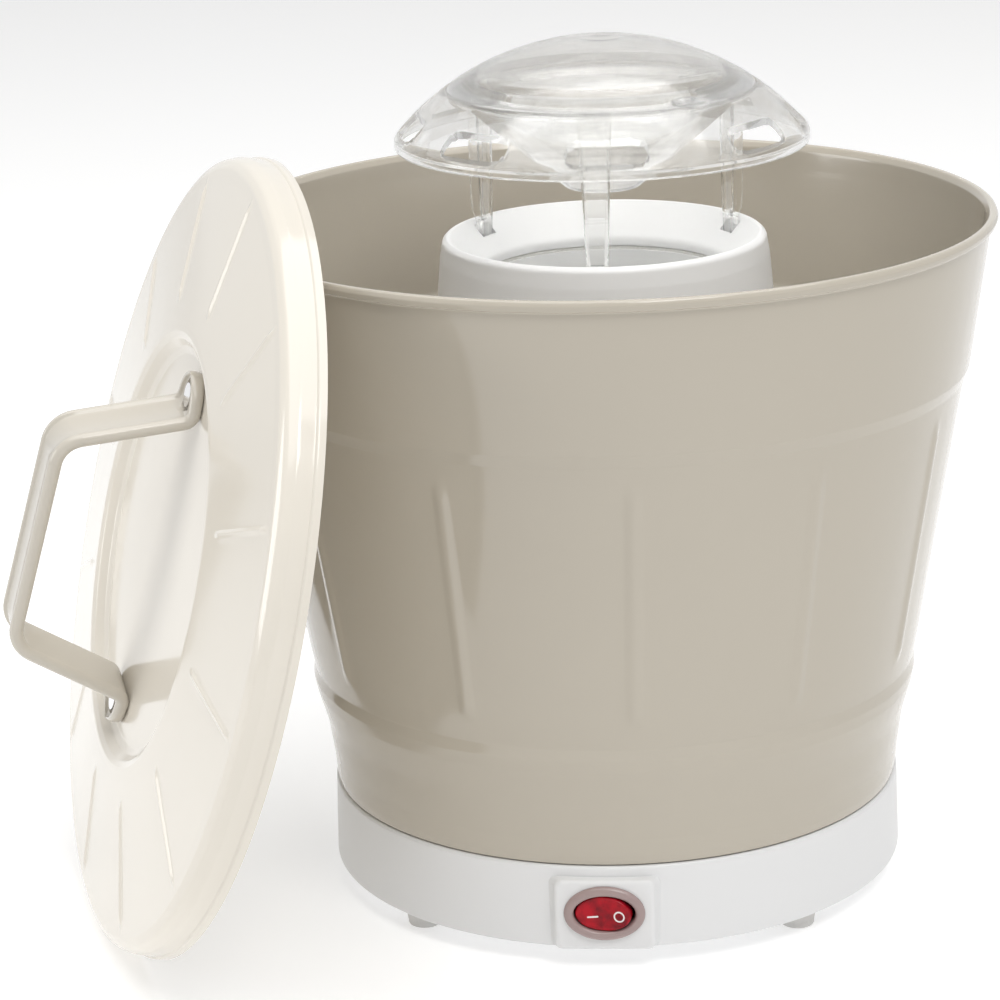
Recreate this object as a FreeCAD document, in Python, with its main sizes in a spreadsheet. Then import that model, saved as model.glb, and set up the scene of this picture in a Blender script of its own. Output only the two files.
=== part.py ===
"""Hot-air popcorn maker: a round base with a popping tower, a lift-off serving bucket,
a clear dispersing cap with a domed measuring cap on it, and a lid that leans on the bucket.

Lengths are millimetres.  Everything but the lid is built about the machine's own upright axis,
with z = 0 on the surface that the feet stand on and the switch facing -Y.  The lid is built flat,
with its rim in the plane z = 0 and its handle along X, and then leaned against the bucket.
"""
import FreeCAD, Part
import Sketcher
import math
import os
from types import SimpleNamespace

from FreeCAD import Placement, Rotation, Vector

SIZES = {
    # where the machine's axis stands, so that the whole object is centred on the origin
    "axis_x": 36.1, "axis_y": 27.7,
    # feet and base
    "foot_height": 7.0, "foot_radius": 6.5, "foot_circle": 92.0, "foot_stem_radius": 2.9,
    "base_radius": 102.5, "deck_radius": 101.7, "deck_height": 36.4, "base_wall": 2.5,
    "locator_radius": 96.5, "locator_height": 3.0, "tower_hole_radius": 64.3,
    "boss_circle": 84.0, "boss_radius": 4.2, "plate_gap": 0.4, "plate_boss_radius": 6.0,
    "plate_boss_height": 5.0, "post_circle": 47.0, "post_radius": 3.6,
    # small screws
    "screw_radius": 1.35, "screw_bore_radius": 1.4, "screw_clearance": 1.8, "screw_head_radius": 3.1,
    "screw_head_height": 1.8, "screw_recess_radius": 3.4, "screw_recess_depth": 2.4,
    # switch, on a raised panel at the front
    "panel_width": 34.5, "panel_height": 25.8, "panel_front": 104.8, "panel_back": 100.2,
    "panel_corner": 2.5, "switch_height": 21.0, "bezel_half_width": 13.75, "bezel_half_height": 9.7,
    "bezel_thickness": 2.0, "window_half_width": 10.4, "window_half_height": 6.6,
    "switch_wall": 1.2, "switch_back": 86.0, "switch_floor": 96.5, "pivot_depth": 103.3,
    "pivot_radius": 1.2, "pivot_hole_radius": 1.25, "rocker_half_width": 9.6,
    "rocker_half_height": 6.2, "rocker_rise": 2.4, "rocker_back": 2.6, "rocker_tilt": 8.0,
    "tab_width": 4.8, "tab_thickness": 0.8, "tab_length": 8.0, "tab_pitch": 6.0,
    # inlet for the mains lead, at the back
    "gland_height": 20.0, "gland_radius": 5.6, "gland_flange_radius": 8.0, "gland_bore_radius": 3.4,
    "gland_inner_end": 93.0, "gland_outer_end": 111.0, "gland_nose_radius": 5.2,
    # tower and popping chamber
    "tower_foot_radius": 63.9, "tower_flange_radius": 76.0, "tower_wall": 2.2,
    "tower_neck_radius": 58.6, "tower_neck_height": 213.3, "tower_brow_radius": 57.0,
    "tower_brow_height": 229.0, "mouth_radius": 54.0, "mouth_height": 232.4,
    "throat_radius": 42.8, "throat_height": 220.6, "throat_lip": 3.0,
    "tower_screw_circle": 70.0, "socket_circle": 50.5, "socket_width": 11.0, "socket_depth": 6.8,
    "socket_floor": 213.0, "slot_width": 8.2, "slot_depth": 4.0, "slot_floor": 215.5,
    "chamber_radius": 42.0, "chamber_wall": 0.8, "chamber_floor": 112.0, "chamber_flange_radius": 46.0,
    "gasket_thickness": 1.0, "vent_height": 9.0, "vent_width": 1.6, "vent_slant": 35.0,
    # heater
    "heater_radius": 45.0, "heater_wall": 0.8, "heater_bottom": 84.0, "heater_top": 130.0,
    "heater_flange_radius": 52.0, "mica_half_width": 31.0, "mica_thickness": 0.8,
    "mica_bottom": 86.0, "mica_top": 108.0, "mica_tab_height": 3.0, "coil_radius": 31.62,
    "coil_wire_radius": 0.6, "coil_pitch": 3.8, "coil_bottom": 90.5,
    "thermostat_radius": 8.0, "thermostat_thickness": 5.5, "thermostat_height": 104.0,
    "fuse_radius": 2.0, "fuse_length": 12.0, "fuse_height": 104.0,
    # fan
    "fan_case_radius": 46.0, "fan_case_wall": 2.0, "fan_case_bottom": 56.0, "intake_radius": 26.0,
    "fan_radius": 40.0, "fan_hub_radius": 7.0, "fan_bottom": 61.0, "fan_plate": 1.5,
    "fan_top": 77.0, "blade_thickness": 1.3, "blade_inner_radius": 12.0,
    # motor
    "motor_radius": 17.5, "motor_wall": 1.2, "motor_top": 54.5, "motor_bottom": 20.0,
    "bell_bottom": 15.5, "shaft_radius": 1.5, "bush_bore_radius": 1.55, "bush_radius": 3.2,
    "bush_length": 4.5, "rotor_radius": 11.0, "rotor_bottom": 26.0, "rotor_top": 46.0,
    "magnet_inner_radius": 12.0, "bracket_thickness": 1.5, "bracket_radius": 32.0,
    "bracket_hub_radius": 19.0, "bracket_arm_width": 9.0, "motor_screw_circle": 11.0,
    "board_radius": 15.5, "board_thickness": 1.6, "board_bottom": 12.8, "diode_radius": 1.3,
    "diode_length": 5.2,
    # bucket
    "bucket_bottom": 36.8, "bucket_foot_radius": 101.4, "bucket_wall": 2.2,
    "low_hoop_radius": 104.2, "low_hoop_height": 60.0, "low_hoop_top_radius": 107.7,
    "low_hoop_top": 73.5, "stave_bottom_radius": 107.6, "stave_bottom": 78.5,
    "stave_top_radius": 124.9, "stave_top": 183.0, "high_hoop_radius": 126.7, "high_hoop": 187.5,
    "bucket_top_radius": 133.4, "bucket_top": 233.5, "rim_radius": 136.0, "rim_top": 240.0,
    "bucket_floor": 40.2, "bucket_collar_radius": 65.4, "bucket_collar_top": 50.0,
    "rib_bottom": 90.0, "rib_top": 173.0, "rib_angle": 2.2, "rib_rise": 0.8, "rib_turn": 6.2,
    # dispersing cap, deflector and measuring cap share one sphere
    "dome_sphere": 94.3, "dome_top": 301.0, "cap_radius": 71.8, "cap_bottom": 264.4,
    "cap_wall": 1.9, "seat_radius": 53.4, "seat_height": 281.2, "seat_lip": 2.0,
    "seat_hole_radius": 49.4, "window_inner": 63.0, "window_outer": 70.3, "window_angle": 23.0,
    "leg_circle": 50.5, "leg_top_width": 11.2, "leg_tip_width": 6.2,
    "leg_top_depth": 3.0, "leg_tip_depth": 3.0, "leg_tip": 217.0, "leg_channel": 1.2,
    "cone_tip_radius": 12.5, "cone_tip": 248.4, "cone_wall": 1.6, "cone_rim_radius": 48.6,
    "cone_rim": 279.8, "cone_flange_radius": 53.0, "cup_radius": 53.0, "cup_wall": 1.8,
    "cup_plug_radius": 46.5, "cup_plug_depth": 2.4, "cup_bottom": 283.0, "cup_tab_radius": 6.5,
    "cup_tab_circle": 55.0, "cup_tab_turn": -55.0, "cup_tab_bottom": 284.5, "cup_tab_thickness": 1.8,
    "cup_dimple_radius": 3.2,
    # lid, built flat
    "lid_radius": 138.0, "lid_lip_height": 2.4, "lid_skirt_radius": 137.2, "lid_skirt_top": 9.6,
    "lid_shoulder_radius": 133.6, "lid_shoulder": 13.4, "lid_crest_radius": 75.5, "lid_crest": 20.3,
    "lid_recess_radius": 69.0, "lid_recess": 15.6, "lid_wall": 2.2, "lid_rib_inner": 86.0,
    "lid_rib_outer": 128.5, "lid_rib_rise": 0.8, "lid_rib_width": 1.8,
    # lid handle
    "strap_width": 23.0, "strap_thickness": 4.6, "strap_tip": 66.5, "strap_foot": 52.8,
    "grip_half_length": 38.3, "grip_height": 60.0, "strap_bend_radius": 9.0,
    "handle_hole_circle": 58.5, "handle_pocket_radius": 5.6, "handle_pocket_depth": 2.4,
    "handle_screw_radius": 2.0, "handle_hole_radius": 2.1, "handle_head_radius": 4.2,
    "handle_head_height": 1.7, "handle_nut_radius": 4.4, "handle_nut_height": 3.0,
    # how the lid leans on the bucket
    "lid_centre_x": -137.2, "lid_centre_y": -59.0, "lid_lean": 14.5, "lid_azimuth": 200.5,
    "lid_spin": -10.5,
}

FEET = {"foot_rear_right": 45, "foot_rear_left": 135, "foot_front_left": 225, "foot_front_right": 315}
BOSS_ANGLES = (22, 158, 202, 338)
POST_ANGLES = (60, 180, 300)
LEG_ANGLES = (30, 150, 270)
TOWER_SCREW_ANGLES = (90, 210, 330)
BUCKET_RIBS = 12
LID_RIBS = 12
CAP_WINDOW_ANGLES = (4, 51, 98, 145, 192, 233, 274, 324)
FAN_BLADES = 9
CHAMBER_VENTS = 24
COIL_TURNS = 5

doc = FreeCAD.newDocument("popcorn_maker")
sheet = doc.addObject("Spreadsheet::Sheet", "Sizes")
for row, (alias, number) in enumerate(SIZES.items(), start=1):
    sheet.set(f"A{row}", alias)
    sheet.set(f"B{row}", str(number))
    sheet.setAlias(f"B{row}", alias)
doc.recompute()


class Size:
    """A size from the sheet, or worked out from such sizes: its value and its expression."""

    def __init__(self, value, text):
        self.value = float(value)
        self.text = text

    def __add__(self, other):
        return Size(self.value + value_of(other), f"({self.text} + {text_of(other)})")

    def __sub__(self, other):
        return Size(self.value - value_of(other), f"({self.text} - {text_of(other)})")

    def __mul__(self, other):
        return Size(self.value * value_of(other), f"({self.text} * {text_of(other)})")

    def __truediv__(self, other):
        return Size(self.value / value_of(other), f"({self.text} / {text_of(other)})")

    def __rmul__(self, other):
        return self * other

    def __neg__(self):
        return Size(-self.value, f"(0 - {self.text})")


def value_of(size):
    return size.value if isinstance(size, Size) else float(size)


def text_of(size):
    return size.text if isinstance(size, Size) else f"({float(size)})"


def hypotenuse(a, b):
    return Size(math.hypot(a.value, b.value), f"sqrt({a.text} ^ 2 + {b.text} ^ 2)")


D = SimpleNamespace(**{name: Size(sheet.get(name), f"Sizes.{name}") for name in SIZES})


def bind(part, prop, size):
    """Give a property its value, and its expression where the size comes from the sheet."""
    part.setExpression(prop, text_of(size))


def place(part, at, turn=Rotation()):
    part.Placement = Placement(Vector(*[value_of(a) for a in at]), turn)
    for letter, size in zip("xyz", at):
        if isinstance(size, Size):
            bind(part, f"Placement.Base.{letter}", size)
    return part


def about_z(angle):
    return Rotation(Vector(0, 0, 1), angle)


def along_y():
    """Turns a +Z primitive to point along -Y."""
    return Rotation(Vector(1, 0, 0), 90)


def on_circle(radius, angle):
    """The x and y of a point on a circle about the axis."""
    turn = math.radians(angle)
    return radius * math.cos(turn), radius * math.sin(turn)


# ---- Part primitives and booleans -------------------------------------------------------------

def cylinder(name, radius, height, at=(0, 0, 0), turn=Rotation()):
    part = doc.addObject("Part::Cylinder", name)
    bind(part, "Radius", radius)
    bind(part, "Height", height)
    return place(part, at, turn)


def cone(name, radius1, radius2, height, at=(0, 0, 0), turn=Rotation()):
    part = doc.addObject("Part::Cone", name)
    bind(part, "Radius1", radius1)
    bind(part, "Radius2", radius2)
    bind(part, "Height", height)
    return place(part, at, turn)


def box(name, length, width, height, at=(0, 0, 0), turn=Rotation()):
    part = doc.addObject("Part::Box", name)
    bind(part, "Length", length)
    bind(part, "Width", width)
    bind(part, "Height", height)
    return place(part, at, turn)


def oval(name, half_width, half_height, depth, front):
    """An oval prism across the switch's centre line, from y = -front back towards the axis."""
    ellipse = doc.addObject("Part::Ellipse", name + "_outline")
    bind(ellipse, "MajorRadius", half_width)
    bind(ellipse, "MinorRadius", half_height)
    place(ellipse, (0, -front, D.switch_height), along_y())
    part = doc.addObject("Part::Extrusion", name)
    part.Base = ellipse
    part.DirMode = "Custom"
    part.Dir = Vector(0, 1, 0)
    part.Solid = True
    bind(part, "LengthFwd", depth)
    return part


def fuse(name, parts):
    part = doc.addObject("Part::MultiFuse", name)
    part.Shapes = parts
    return part


def cut(name, base, tools):
    part = doc.addObject("Part::Cut", name)
    part.Base = base
    part.Tool = tools[0] if len(tools) == 1 else fuse(name + "_tools", tools)
    return part


def tube(name, outer, inner, height, z):
    spare = 1
    return cut(name, cylinder(name + "_outer", outer, height, (0, 0, z)),
               [cylinder(name + "_inner", inner, height + 2 * spare, (0, 0, z - spare))])


def group(name, parts):
    part = doc.addObject("Part::Compound", name)
    part.Links = parts
    return part


def common(name, a, b):
    part = doc.addObject("Part::Common", name)
    part.Base = a
    part.Tool = b
    return part


# ---- PartDesign bodies ------------------------------------------------------------------------

def origin_feature(body, role):
    return next(f for f in body.Origin.OriginFeatures if f.Role == role)


def new_sketch(body, name, plane, offset=0):
    sketch = body.newObject("Sketcher::SketchObject", name)
    sketch.AttachmentSupport = [(origin_feature(body, plane), "")]
    sketch.MapMode = "FlatFace"
    if isinstance(offset, Size):
        bind(sketch, "AttachmentOffset.Base.z", offset)
    return sketch


def polygon(sketch, corners):
    """A closed outline, each corner held by its distances from the sketch's origin."""
    points = [Vector(value_of(x), value_of(y), 0) for x, y in corners]
    count = len(points)
    for i in range(count):
        sketch.addGeometry(Part.LineSegment(points[i], points[(i + 1) % count]), False)
    for i in range(count):
        sketch.addConstraint(Sketcher.Constraint("Coincident", i, 2, (i + 1) % count, 1))
    for i, corner in enumerate(corners):
        for kind, size in zip(("DistanceX", "DistanceY"), corner):
            hold = sketch.addConstraint(Sketcher.Constraint(kind, -1, 1, i, 1, value_of(size)))
            if isinstance(size, Size):
                bind(sketch, f"Constraints[{hold}]", size)


def revolve(body, name, corners, angle=None):
    """Turn an outline of (radius, height) corners about the axis, fully or through an angle."""
    sketch = new_sketch(body, name + "_outline", "XZ_Plane")
    polygon(sketch, corners)
    feature = body.newObject("PartDesign::Revolution", name)
    feature.Profile = sketch
    feature.ReferenceAxis = (sketch, ["V_Axis"])
    if angle is not None:
        feature.Midplane = True
        bind(feature, "Angle", angle)
    return feature


def pad(body, name, plane, corners, length, offset=0, midplane=False):
    sketch = new_sketch(body, name + "_outline", plane, offset)
    polygon(sketch, corners)
    feature = body.newObject("PartDesign::Pad", name)
    feature.Profile = sketch
    feature.Midplane = midplane
    bind(feature, "Length", length)
    return feature


def repeat(body, feature, count):
    """Repeat a feature evenly about the axis."""
    pattern = body.newObject("PartDesign::PolarPattern", feature.Name + "_pattern")
    pattern.Originals = [feature]
    pattern.Axis = (origin_feature(body, "Z_Axis"), [""])
    pattern.Angle = 360
    pattern.Occurrences = count
    body.Tip = pattern
    return pattern


def round_edges(body, feature, radius, wanted):
    """Fillet the edges of a feature for which wanted(edge) is true."""
    doc.recompute()
    names = [f"Edge{i}" for i, edge in enumerate(feature.Shape.Edges, start=1) if wanted(edge)]
    fillet = body.newObject("PartDesign::Fillet", feature.Name + "_rounding")
    fillet.Base = (feature, names)
    bind(fillet, "Radius", radius)
    body.Tip = fillet
    return fillet


def new_body(name):
    return doc.addObject("PartDesign::Body", name)


# ---- sub-parts: Label, Placement, export ------------------------------------------------------

SUBPARTS = []


def machine_part(node, part):
    """A sub-part of the machine: moved from the machine's axis to its place about the origin."""
    part.Label = node
    place(part, (D.axis_x, D.axis_y, 0))
    SUBPARTS.append(part)


def lid_part(node, part):
    """A sub-part of the lid: leaned so that its rim just touches the surface that the feet do."""
    part.Label = node
    lean = math.radians(D.lid_lean.value)
    turn = (about_z(D.lid_azimuth.value)
            * Rotation(Vector(0, 1, 0), 90 - D.lid_lean.value)
            * about_z(D.lid_spin.value))
    rise = D.lid_radius.value * math.cos(lean)
    part.Placement = Placement(
        Vector(D.axis_x.value + D.lid_centre_x.value, D.axis_y.value + D.lid_centre_y.value, rise), turn)
    SUBPARTS.append(part)


def screw(name, at, length, turn=Rotation()):
    """A pan-head screw whose head's underside is at the given point and whose shank runs up."""
    x, y, z = at
    head_at = Vector(x, y, z) + turn.multVec(Vector(0, 0, -D.screw_head_height.value))
    return fuse(name, [cylinder(name + "_head", D.screw_head_radius, D.screw_head_height,
                                tuple(head_at), turn),
                       cylinder(name + "_shank", D.screw_radius, length, at, turn)])


# ---- base -------------------------------------------------------------------------------------

def make_base_housing():
    body = new_body("housing_body")
    under_deck = D.deck_height - D.base_wall
    revolve(body, "housing_shell", [
        (D.base_radius, D.foot_height), (D.deck_radius, D.deck_height),
        (D.locator_radius, D.deck_height), (D.locator_radius, D.deck_height + D.locator_height),
        (D.locator_radius - D.base_wall, D.deck_height + D.locator_height),
        (D.locator_radius - D.base_wall, D.deck_height), (D.tower_hole_radius, D.deck_height),
        (D.tower_hole_radius, under_deck), (D.deck_radius - D.base_wall, under_deck),
        (D.base_radius - D.base_wall, D.foot_height)])
    half = D.panel_width / 2
    top = D.foot_height + D.panel_height
    panel = pad(body, "switch_panel", "XZ_Plane",
                [(-half, D.foot_height), (half, D.foot_height), (half, top), (-half, top)],
                D.panel_front - D.panel_back, offset=D.panel_back)
    front = -D.panel_front.value
    round_edges(body, panel, D.panel_corner, lambda edge: (
        abs(edge.BoundBox.YMin - front) < 0.01 and edge.BoundBox.YLength > 1
        and edge.BoundBox.XLength < 0.01))
    bosses = [cylinder(f"boss_{a}", D.boss_radius, under_deck + 0.5 - D.foot_height - D.plate_boss_height,
                       (*on_circle(D.boss_circle.value, a), D.foot_height + D.plate_boss_height))
              for a in BOSS_ANGLES]
    bores = [cylinder(f"boss_bore_{a}", D.screw_bore_radius, 12,
                      (*on_circle(D.boss_circle.value, a), D.foot_height + D.plate_boss_height - 1))
             for a in BOSS_ANGLES]
    pilots = [cylinder(f"deck_pilot_{a}", D.screw_bore_radius, 3,
                       (*on_circle(D.tower_screw_circle.value, a), under_deck - 1))
              for a in TOWER_SCREW_ANGLES]
    switch_hole = oval("switch_hole", D.window_half_width + D.switch_wall + 0.2,
                       D.window_half_height + D.switch_wall + 0.2, 12, D.panel_front + 1)
    gland_hole = cylinder("gland_hole", D.gland_radius + 0.1, 20,
                          (0, D.gland_outer_end, D.gland_height), along_y())
    shell = fuse("housing_with_bosses", [body, *bosses])
    machine_part("base_housing", cut("housing", shell, [switch_hole, gland_hole, *bores, *pilots]))


def make_base_plate():
    z = D.foot_height
    disc = cylinder("plate_disc", D.base_radius - D.base_wall - D.plate_gap, D.base_wall, (0, 0, z))
    spots = [(f"{kind}_{a}", on_circle(circle.value, a))
             for kind, circle, angles in (("rim", D.boss_circle, BOSS_ANGLES),
                                          ("post", D.post_circle, POST_ANGLES)) for a in angles]
    bosses = [cylinder(f"plate_boss_{n}", D.plate_boss_radius, D.plate_boss_height, (*xy, z))
              for n, xy in spots]
    recesses = [cylinder(f"plate_recess_{n}", D.screw_recess_radius, D.screw_recess_depth + 1,
                         (*xy, z - 1)) for n, xy in spots]
    holes = [cylinder(f"plate_hole_{n}", D.screw_clearance, 8, (*xy, z - 1)) for n, xy in spots]
    stems = [cylinder(f"stem_hole_{a}", D.foot_stem_radius + 0.1, 5,
                      (*on_circle(D.foot_circle.value, a), z - 1)) for a in FEET.values()]
    slots = []
    for ring, count, width in ((26.0, 12, 3.0), (66.0, 30, 3.0)):
        for k in range(count):
            angle = 360 * (k + 0.5) / count
            near = [abs((angle - a + 180) % 360 - 180) for a in BOSS_ANGLES]
            if ring > 50 and min(near) < 7:
                continue
            slots.append(box(f"intake_{int(ring)}_{k}", 11, width, 5,
                             (*on_circle(ring, angle - math.degrees(width / 2 / ring)), z - 1),
                             about_z(angle)))
    plate = fuse("plate_with_bosses", [disc, *bosses])
    machine_part("base_plate", cut("plate", plate, [*recesses, *holes, *stems, *slots]))


def make_feet():
    for node, angle in FEET.items():
        x, y = on_circle(D.foot_circle.value, angle)
        pad_ = cylinder(node + "_pad", D.foot_radius, D.foot_height, (x, y, 0))
        stem = cylinder(node + "_stem", D.foot_stem_radius, D.base_wall, (x, y, D.foot_height))
        barb = cone(node + "_barb", D.foot_stem_radius + 1, D.foot_stem_radius - 0.6, 2,
                    (x, y, D.foot_height + D.base_wall))
        machine_part(node, fuse(node + "_piece", [pad_, stem, barb]))


def make_base_screws():
    seat = (D.foot_height + D.screw_recess_depth).value
    rim = [screw(f"rim_screw_{a}", (*on_circle(D.boss_circle.value, a), seat), 10) for a in BOSS_ANGLES]
    posts = [screw(f"post_screw_{a}", (*on_circle(D.post_circle.value, a), seat), 10)
             for a in POST_ANGLES]
    machine_part("base_screws", group("base_screw_group", rim))
    machine_part("post_screws", group("post_screw_group", posts))


def make_cord_gland():
    length = D.gland_outer_end - D.gland_inner_end
    flange_at = D.base_radius + 2.6
    barrel = cylinder("gland_barrel", D.gland_radius, flange_at - D.gland_inner_end,
                      (0, flange_at, D.gland_height), along_y())
    flange = cylinder("gland_flange", D.gland_flange_radius, 2.6, (0, flange_at, D.gland_height),
                      along_y())
    nose = cone("gland_nose", D.gland_nose_radius, D.gland_flange_radius - 1.5,
                D.gland_outer_end - flange_at, (0, D.gland_outer_end, D.gland_height), along_y())
    bore = cylinder("gland_bore", D.gland_bore_radius, length + 2,
                    (0, D.gland_outer_end + 1, D.gland_height), along_y())
    machine_part("cord_gland", cut("gland", fuse("gland_solid", [barrel, flange, nose]), [bore]))


# ---- switch -----------------------------------------------------------------------------------

def make_switch():
    front = D.panel_front + D.bezel_thickness
    bezel = cut("bezel", oval("bezel_outer", D.bezel_half_width, D.bezel_half_height,
                              D.bezel_thickness, front),
                [oval("bezel_window", D.window_half_width, D.window_half_height, 4, front + 1)])
    machine_part("switch_bezel", bezel)

    case = oval("case_outer", D.window_half_width + D.switch_wall,
                D.window_half_height + D.switch_wall, D.panel_front - D.switch_back, D.panel_front)
    hollow = oval("case_hollow", D.window_half_width, D.window_half_height,
                  D.panel_front - D.switch_floor + 1, D.panel_front + 1)
    pin_length = 2 * (D.window_half_height + D.switch_wall + 1)
    pivot_hole = cylinder("pivot_hole", D.pivot_hole_radius, pin_length,
                          (0, -D.pivot_depth, D.switch_height - pin_length / 2))
    machine_part("switch_body", cut("case", case, [hollow, pivot_hole]))

    tabs = [box(f"tab_{k}", D.tab_width, D.tab_length, D.tab_thickness,
                (D.tab_pitch * k - D.tab_width / 2, -D.switch_back,
                 D.switch_height - D.tab_thickness / 2)) for k in (-1, 0, 1)]
    machine_part("switch_terminals", group("tab_group", tabs))
    make_rocker()


def make_rocker():
    """An oval button with a shallow valley down its middle, tipped about two stub pins."""
    reach = D.rocker_rise + 4
    button = oval("rocker_button", D.rocker_half_width, D.rocker_half_height,
                  reach + D.rocker_back, D.pivot_depth + reach)
    tilt = D.rocker_tilt.value
    face = (D.pivot_depth + D.rocker_rise).value
    planes = []
    for side, name in ((1, "right"), (-1, "left")):
        # a block in front of each half of the face, sloping towards the middle
        plane = box(f"rocker_{name}_face", 20, 10, 30)
        turn = Rotation(Vector(0, 0, 1), -side * tilt)
        corner = turn.multVec(Vector(0 if side > 0 else -20, -10, -15))
        plane.Placement = Placement(Vector(0, -face, D.switch_height.value) + corner, turn)
        planes.append(plane)
    half_pin = D.window_half_height + D.switch_wall - 0.3
    pin = cylinder("rocker_pin", D.pivot_radius, 2 * half_pin,
                   (0, -D.pivot_depth, D.switch_height - half_pin))
    rocker = fuse("rocker", [cut("rocker_faced", button, planes), pin])
    rocker.Label = "switch_rocker"
    pivot = Vector(0, -D.pivot_depth.value, 0)
    axis = Vector(D.axis_x.value, D.axis_y.value, 0)
    turn = about_z(-tilt)
    rocker.Placement = Placement(axis + pivot - turn.multVec(pivot), turn)
    SUBPARTS.append(rocker)


# ---- motor, fan and heater --------------------------------------------------------------------

def make_motor():
    height = D.motor_top - D.motor_bottom
    can = cut("can", cylinder("can_outer", D.motor_radius, height, (0, 0, D.motor_bottom)),
              [cylinder("can_hollow", D.motor_radius - D.motor_wall, height,
                        (0, 0, D.motor_bottom - D.motor_wall)),
               cylinder("can_bush_hole", D.bush_radius, 10, (0, 0, D.motor_top - 5)),
               *[cylinder(f"can_screw_hole_{a}", D.screw_bore_radius, 10,
                          (*on_circle(D.motor_screw_circle.value, a), D.motor_top - 5))
                 for a in (0, 180)]])
    machine_part("motor_can", can)
    bell_height = D.motor_bottom - D.bell_bottom
    bell = cut("bell", cylinder("bell_disc", D.motor_radius, bell_height, (0, 0, D.bell_bottom)),
               [cylinder("bell_bush_hole", D.bush_radius, 10, (0, 0, D.bell_bottom - 1))])
    machine_part("motor_end_bell", bell)
    bushes = [tube("upper_bush", D.bush_radius, D.bush_bore_radius, D.bush_length,
                   D.motor_top - D.bush_length + 1.2),
              tube("lower_bush", D.bush_radius, D.bush_bore_radius, bell_height, D.bell_bottom)]
    machine_part("motor_bushes", group("bush_group", bushes))
    ring = tube("magnet_ring", D.motor_radius - D.motor_wall, D.magnet_inner_radius,
                D.rotor_top - D.rotor_bottom, D.rotor_bottom)
    gap = box("magnet_gap", 5, 40, 40, (-2.5, -20, D.rotor_bottom - 10))
    machine_part("motor_magnets", cut("magnets", ring, [gap]))
    rotor = tube("rotor", D.rotor_radius, D.shaft_radius, D.rotor_top - D.rotor_bottom,
                 D.rotor_bottom)
    machine_part("motor_rotor", rotor)
    shaft_bottom = D.bell_bottom + 0.5
    shaft = cylinder("shaft", D.shaft_radius, D.fan_top + 3 - shaft_bottom, (0, 0, shaft_bottom))
    machine_part("motor_shaft", group("shaft_piece", [shaft]))


def make_diode_board():
    z = D.board_bottom
    board = cut("board", cylinder("board_disc", D.board_radius, D.board_thickness, (0, 0, z)),
                [cylinder("board_hole", D.bush_radius + 1, 5, (0, 0, z - 1))])
    posts = [cylinder(f"board_post_{a}", 1.5, D.bell_bottom - z - D.board_thickness,
                      (*on_circle(12, a), z + D.board_thickness)) for a in (45, 165, 285)]
    machine_part("diode_board", fuse("board_piece", [board, *posts]))
    diodes = [cylinder(f"diode_{k}", D.diode_radius, D.diode_length,
                       (x, D.diode_length / 2, z - D.diode_radius), along_y())
              for k, x in enumerate((-10.5, -6.5, 6.5, 10.5))]
    machine_part("diodes", group("diode_group", diodes))


def make_motor_bracket():
    z = D.motor_top
    hub = cylinder("bracket_hub", D.bracket_hub_radius, D.bracket_thickness, (0, 0, z))
    arms = [box(f"bracket_arm_{a}", D.bracket_radius, D.bracket_arm_width, D.bracket_thickness,
                (*Rotation(Vector(0, 0, 1), a).multVec(Vector(0, -D.bracket_arm_width.value / 2, 0))[:2],
                 z), about_z(a)) for a in POST_ANGLES]
    holes = [cylinder("bracket_bush_hole", D.bush_radius + 0.3, 5, (0, 0, z - 1))]
    holes += [cylinder(f"bracket_motor_hole_{a}", D.screw_clearance, 5,
                       (*on_circle(D.motor_screw_circle.value, a), z - 1)) for a in (0, 180)]
    holes += [cylinder(f"bracket_case_hole_{a}", D.screw_clearance, 5,
                       (*on_circle(29.5, a), z - 1)) for a in POST_ANGLES]
    machine_part("motor_bracket", cut("bracket", fuse("bracket_plate", [hub, *arms]), holes))
    upside_down = Rotation(Vector(1, 0, 0), 180)
    top = (z + D.bracket_thickness).value
    motor_screws = [screw(f"motor_screw_{a}", (*on_circle(D.motor_screw_circle.value, a), top), 4,
                          upside_down) for a in (0, 180)]
    machine_part("motor_screws", group("motor_screw_group", motor_screws))
    case_screws = [screw(f"bracket_screw_{a}", (*on_circle(29.5, a), z.value), 3.2)
                   for a in POST_ANGLES]
    machine_part("bracket_screws", group("bracket_screw_group", case_screws))


def make_fan():
    body = new_body("fan_body")
    revolve(body, "fan_disc", [
        (D.shaft_radius, D.fan_bottom), (D.fan_radius, D.fan_bottom),
        (D.fan_radius, D.fan_bottom + D.fan_plate), (D.fan_hub_radius, D.fan_bottom + D.fan_plate),
        (D.fan_hub_radius, D.fan_top), (D.shaft_radius, D.fan_top)])
    blade = pad(body, "fan_blade", "XZ_Plane", [
        (D.blade_inner_radius, D.fan_bottom + D.fan_plate / 2),
        (D.fan_radius - 0.5, D.fan_bottom + D.fan_plate / 2),
        (D.fan_radius - 0.5, D.fan_top - 5), (D.blade_inner_radius, D.fan_top)],
        D.blade_thickness, midplane=True)
    repeat(body, blade, FAN_BLADES)
    machine_part("fan_impeller", body)


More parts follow.
